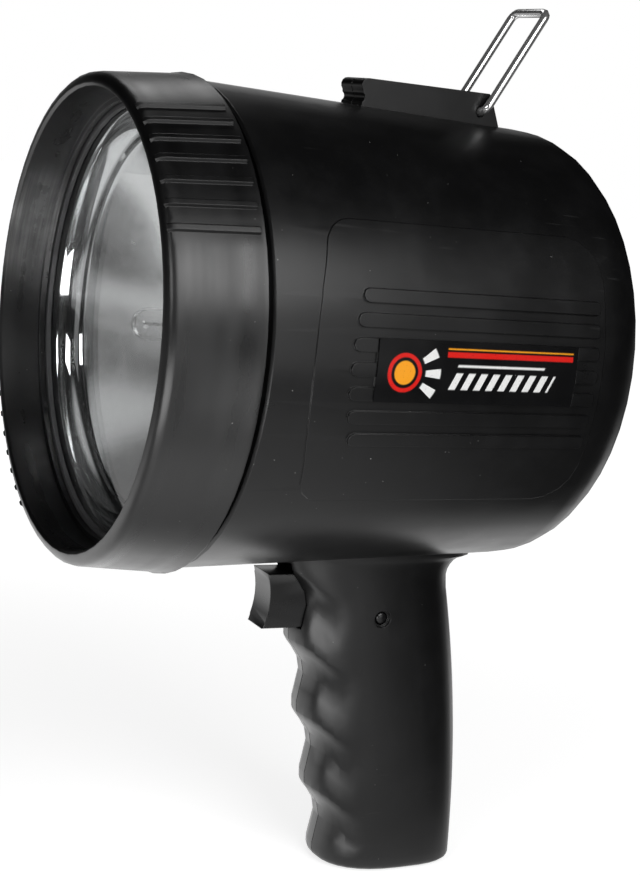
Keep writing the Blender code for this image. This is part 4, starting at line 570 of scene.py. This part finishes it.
def add_seam_tongue():
    """A strip along the floor of the grip and up its rear wall."""
    heights = np.linspace(TONGUE_BOTTOM, TONGUE_TOP, TONGUE_STEPS)
    depths = np.interp(heights, REAR_WALL_HEIGHTS, REAR_WALL_DEPTHS) - TONGUE_GAP
    path = [Vector((0, TONGUE_FRONT, TONGUE_BOTTOM))] + [Vector((0, *point)) for point in zip(depths, heights)]
    bm = bmesh.new()
    rows = []
    for i, point in enumerate(path):
        along = (path[min(i + 1, len(path) - 1)] - path[max(i - 1, 0)]).normalized()
        inner = point + Vector((0, -along.z, along.y)) * TONGUE_THICK
        sides = ((-TONGUE_HALF, inner), (TONGUE_HALF, inner), (TONGUE_HALF, point), (-TONGUE_HALF, point))
        rows.append([bm.verts.new(Vector((x, place.y, place.z)) * MM) for x, place in sides])
    for row, after in zip(rows, rows[1:]):
        for i in range(4):
            j = (i + 1) % 4
            bm.faces.new((row[i], row[j], after[j], after[i]))
    bm.faces.new(rows[0][::-1])
    bm.faces.new(rows[-1])
    bmesh.ops.recalc_face_normals(bm, faces=bm.faces)
    mesh = bpy.data.meshes.new("seam_tongue")
    bm.to_mesh(mesh)
    bm.free()
    made = bpy.data.objects.new("seam_tongue", mesh)
    scene.collection.objects.link(made)
    mesh.materials.append(NODES["bulkhead"].material_slots[0].material)
    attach(made, "housing")


def add_spring():
    """The spring's coil, as its own copy of the spring's mesh carried by the housing."""
    made = bpy.data.objects.new("trigger_coil", NODES["trigger_spring"].data.copy())
    scene.collection.objects.link(made)
    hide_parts("trigger_spring")
    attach(made, "housing")
    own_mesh(made)


add_seam_tongue()
add_spring()


# Studio: a pale floor and world, which are white to the camera only, and seven soft boxes

FLOOR_HALF, FLOOR_LEVEL = 6.0, -0.0004


def add_floor():
    """A pale table top, white to the camera. In gloss and through the lens it glows with painted light instead: darker
    than that, and brighter by place in painted pools of light that stand in for a lit table in a dark room."""
    mesh = bpy.data.meshes.new("studio_floor")
    corners = [(x * FLOOR_HALF, y * FLOOR_HALF, FLOOR_LEVEL) for x, y in ((-1, -1), (1, -1), (1, 1), (-1, 1))]
    mesh.from_pydata(corners, [], [(0, 1, 2, 3)])
    floor = bpy.data.objects.new("studio_floor", mesh)
    scene.collection.objects.link(floor)
    made, sh = new_material("studio_white")
    base = sh.add("BsdfDiffuse")
    base.inputs["Color"].default_value = (0.6, 0.6, 0.6, 1)
    place = sh.object_place()
    x, y, _ = sh.axes(place)
    far = sh.vector("DISTANCE", place, (0.05, 0.0, 0.0))
    rays = sh.add("LightPath").outputs

    # in gloss: painted pools of light, brightest in front of the lamp, on its hidden side, and right before the grip
    rearward = sh.math("SUBTRACT", y, sh.math("MULTIPLY", x, 0.35))
    mirrored = sh.math("MULTIPLY", sh.remap(far, 0.30, 0.90, 1.0, 0.3), sh.remap(rearward, 0.0, 0.15, 0.54, 0.045))
    aside = sh.math("MULTIPLY", sh.remap(x, -0.04, 0.05, 0.95, 0.0), sh.remap(far, 0.25, 0.90, 1.0, 0.1))
    mirrored = sh.math("ADD", mirrored, aside)
    painted_pool_before_grip = sh.vector("DISTANCE", place, (0.17, -0.11, 0.0))
    mirrored = sh.math("ADD", mirrored, sh.remap(painted_pool_before_grip, 0.03, 0.14, 0.63, 0.0))

    # through the lens: painted light, a distant part, and a patch near the lamp
    distant = sh.math("MULTIPLY", sh.remap(far, 0.55, 0.95, 0.0, 0.5), sh.remap(far, 1.6, 2.6, 1.0, 0.4))
    beside = sh.math("ADD", x, sh.math("MULTIPLY", y, 0.6))
    distant = sh.math("MULTIPLY", distant, sh.remap(beside, -0.15, 0.03, 1.0, 0.06))
    patch = sh.math("ADD", sh.remap(x, -0.122, -0.098, 0.75, 0.0), sh.remap(x, -0.05, 0.03, 0.18, 0.01))
    inside = sh.math("ADD", distant, sh.math("MULTIPLY", patch, sh.remap(far, 0.45, 0.65, 1.0, 0.0)))

    # Is Glossy Ray is 1 for rays through the lens too, so these are taken out of it
    through = rays["Is Transmission Ray"]
    seen = sh.math("MULTIPLY", sh.math("MULTIPLY", rays["Is Glossy Ray"], sh.math("SUBTRACT", 1.0, through)), mirrored)
    seen = sh.math("ADD", seen, sh.math("MULTIPLY", through, inside))
    white = sh.math("MULTIPLY", rays["Is Camera Ray"], sh.remap(far, 0.15, 0.70, 0.72, 0.93))
    glow = sh.add("Emission")
    sh.put(glow.inputs["Strength"], sh.math("MAXIMUM", seen, white))
    both = sh.add("AddShader")
    sh.links.new(base.outputs[0], both.inputs[0])
    sh.links.new(glow.outputs[0], both.inputs[1])
    only = sh.add("MixShader")
    sh.put(only.inputs[0], sh.math("MAXIMUM", rays["Is Glossy Ray"], rays["Is Transmission Ray"]))
    sh.links.new(both.outputs[0], only.inputs[1])
    sh.links.new(glow.outputs[0], only.inputs[2])
    close(sh, only.outputs[0])
    mesh.materials.append(made)


def add_world():
    """White to the camera and dim to the light. In gloss it is dark but for a pale wall behind the lamp, which stays
    in its place as the camera moves."""
    world = bpy.data.worlds.new("studio_world")
    world.use_nodes = True
    world.node_tree.nodes.clear()
    scene.world = world
    sh = Shader(world.node_tree)
    direction = sh.add("TexCoord").outputs["Generated"]
    behind = sh.remap(sh.vector("DOT_PRODUCT", direction, tuple(VIEW)), 0.74, 0.97, 0.0, 0.72)
    aside = sh.remap(sh.vector("DOT_PRODUCT", direction, tuple(ACROSS)), 0.03, 0.20, 1.0, 0.0)
    mirrored = sh.math("ADD", 0.006, sh.math("MULTIPLY", behind, aside))
    aside_x, ahead, up = sh.axes(direction)
    above = sh.math("MULTIPLY", sh.remap(up, 0.34, 0.50, 0.02, 0.50), sh.remap(aside_x, 0.05, 0.40, 1.0, 0.05))
    inside = sh.math("MULTIPLY", above, sh.remap(ahead, -0.80, -0.60, 1.0, 0.1))
    rays = sh.add("LightPath").outputs
    strength = sh.math("MAXIMUM", rays["Is Camera Ray"], sh.math("MULTIPLY", rays["Is Diffuse Ray"], 0.2))
    through = rays["Is Transmission Ray"]
    strength = sh.math("MAXIMUM", strength, sh.math("MULTIPLY", through, inside))
    outside = sh.math("MULTIPLY", rays["Is Glossy Ray"], sh.math("SUBTRACT", 1.0, through))
    strength = sh.math("MAXIMUM", strength, sh.math("MULTIPLY", outside, mirrored))
    back = sh.add("Background")
    back.inputs["Color"].default_value = (1, 1, 1, 1)
    sh.put(back.inputs["Strength"], strength)
    out = sh.add("OutputWorld")
    sh.links.new(back.outputs[0], out.inputs["Surface"])


def soft_box(name, place, target, width, height, radiance):
    """An area lamp whose face shows the given brightness."""
    data = bpy.data.lights.new(name, "AREA")
    data.shape = "RECTANGLE"
    data.size = width
    data.size_y = height
    data.energy = radiance * pi * width * height
    lamp = bpy.data.objects.new(name, data)
    place, target = Vector(place), Vector(target)
    lamp.location = place
    lamp.rotation_euler = (target - place).to_track_quat("-Z", "Y").to_euler()
    scene.collection.objects.link(lamp)
    return lamp


def add_studio():
    add_floor()
    add_world()
    soft_box("key_box", (0.61, 0.04, 0.55), (0.07, -0.03, 0.22), 0.50, 0.35, 4.7)
    soft_box("side_box", (0.95, 0.20, 0.20), (0.07, 0.0, 0.19), 0.58, 0.36, 1.2)
    soft_box("top_box", (-0.34, 0.03, 0.65), (0.03, -0.06, 0.26), 0.20, 0.18, 2.2)
    soft_box("front_box", (0.53, -0.82, 0.52), (0.0, -0.03, 0.12), 0.36, 0.26, 5.0)
    soft_box("low_box", (0.263, -0.20, 0.078), (0.01, 0.01, 0.06), 0.23, 0.14, 4.0)
    soft_box("ahead_box", (-0.10, -1.50, 0.25), (0.0, 0.0, 0.19), 0.5, 0.5, 0.22)
    soft_box("left_box", (-1.10, -0.66, 0.20), (0.0, -0.05, 0.19), 0.45, 0.35, 0.11)


add_studio()

scene.view_settings.view_transform = "Standard"
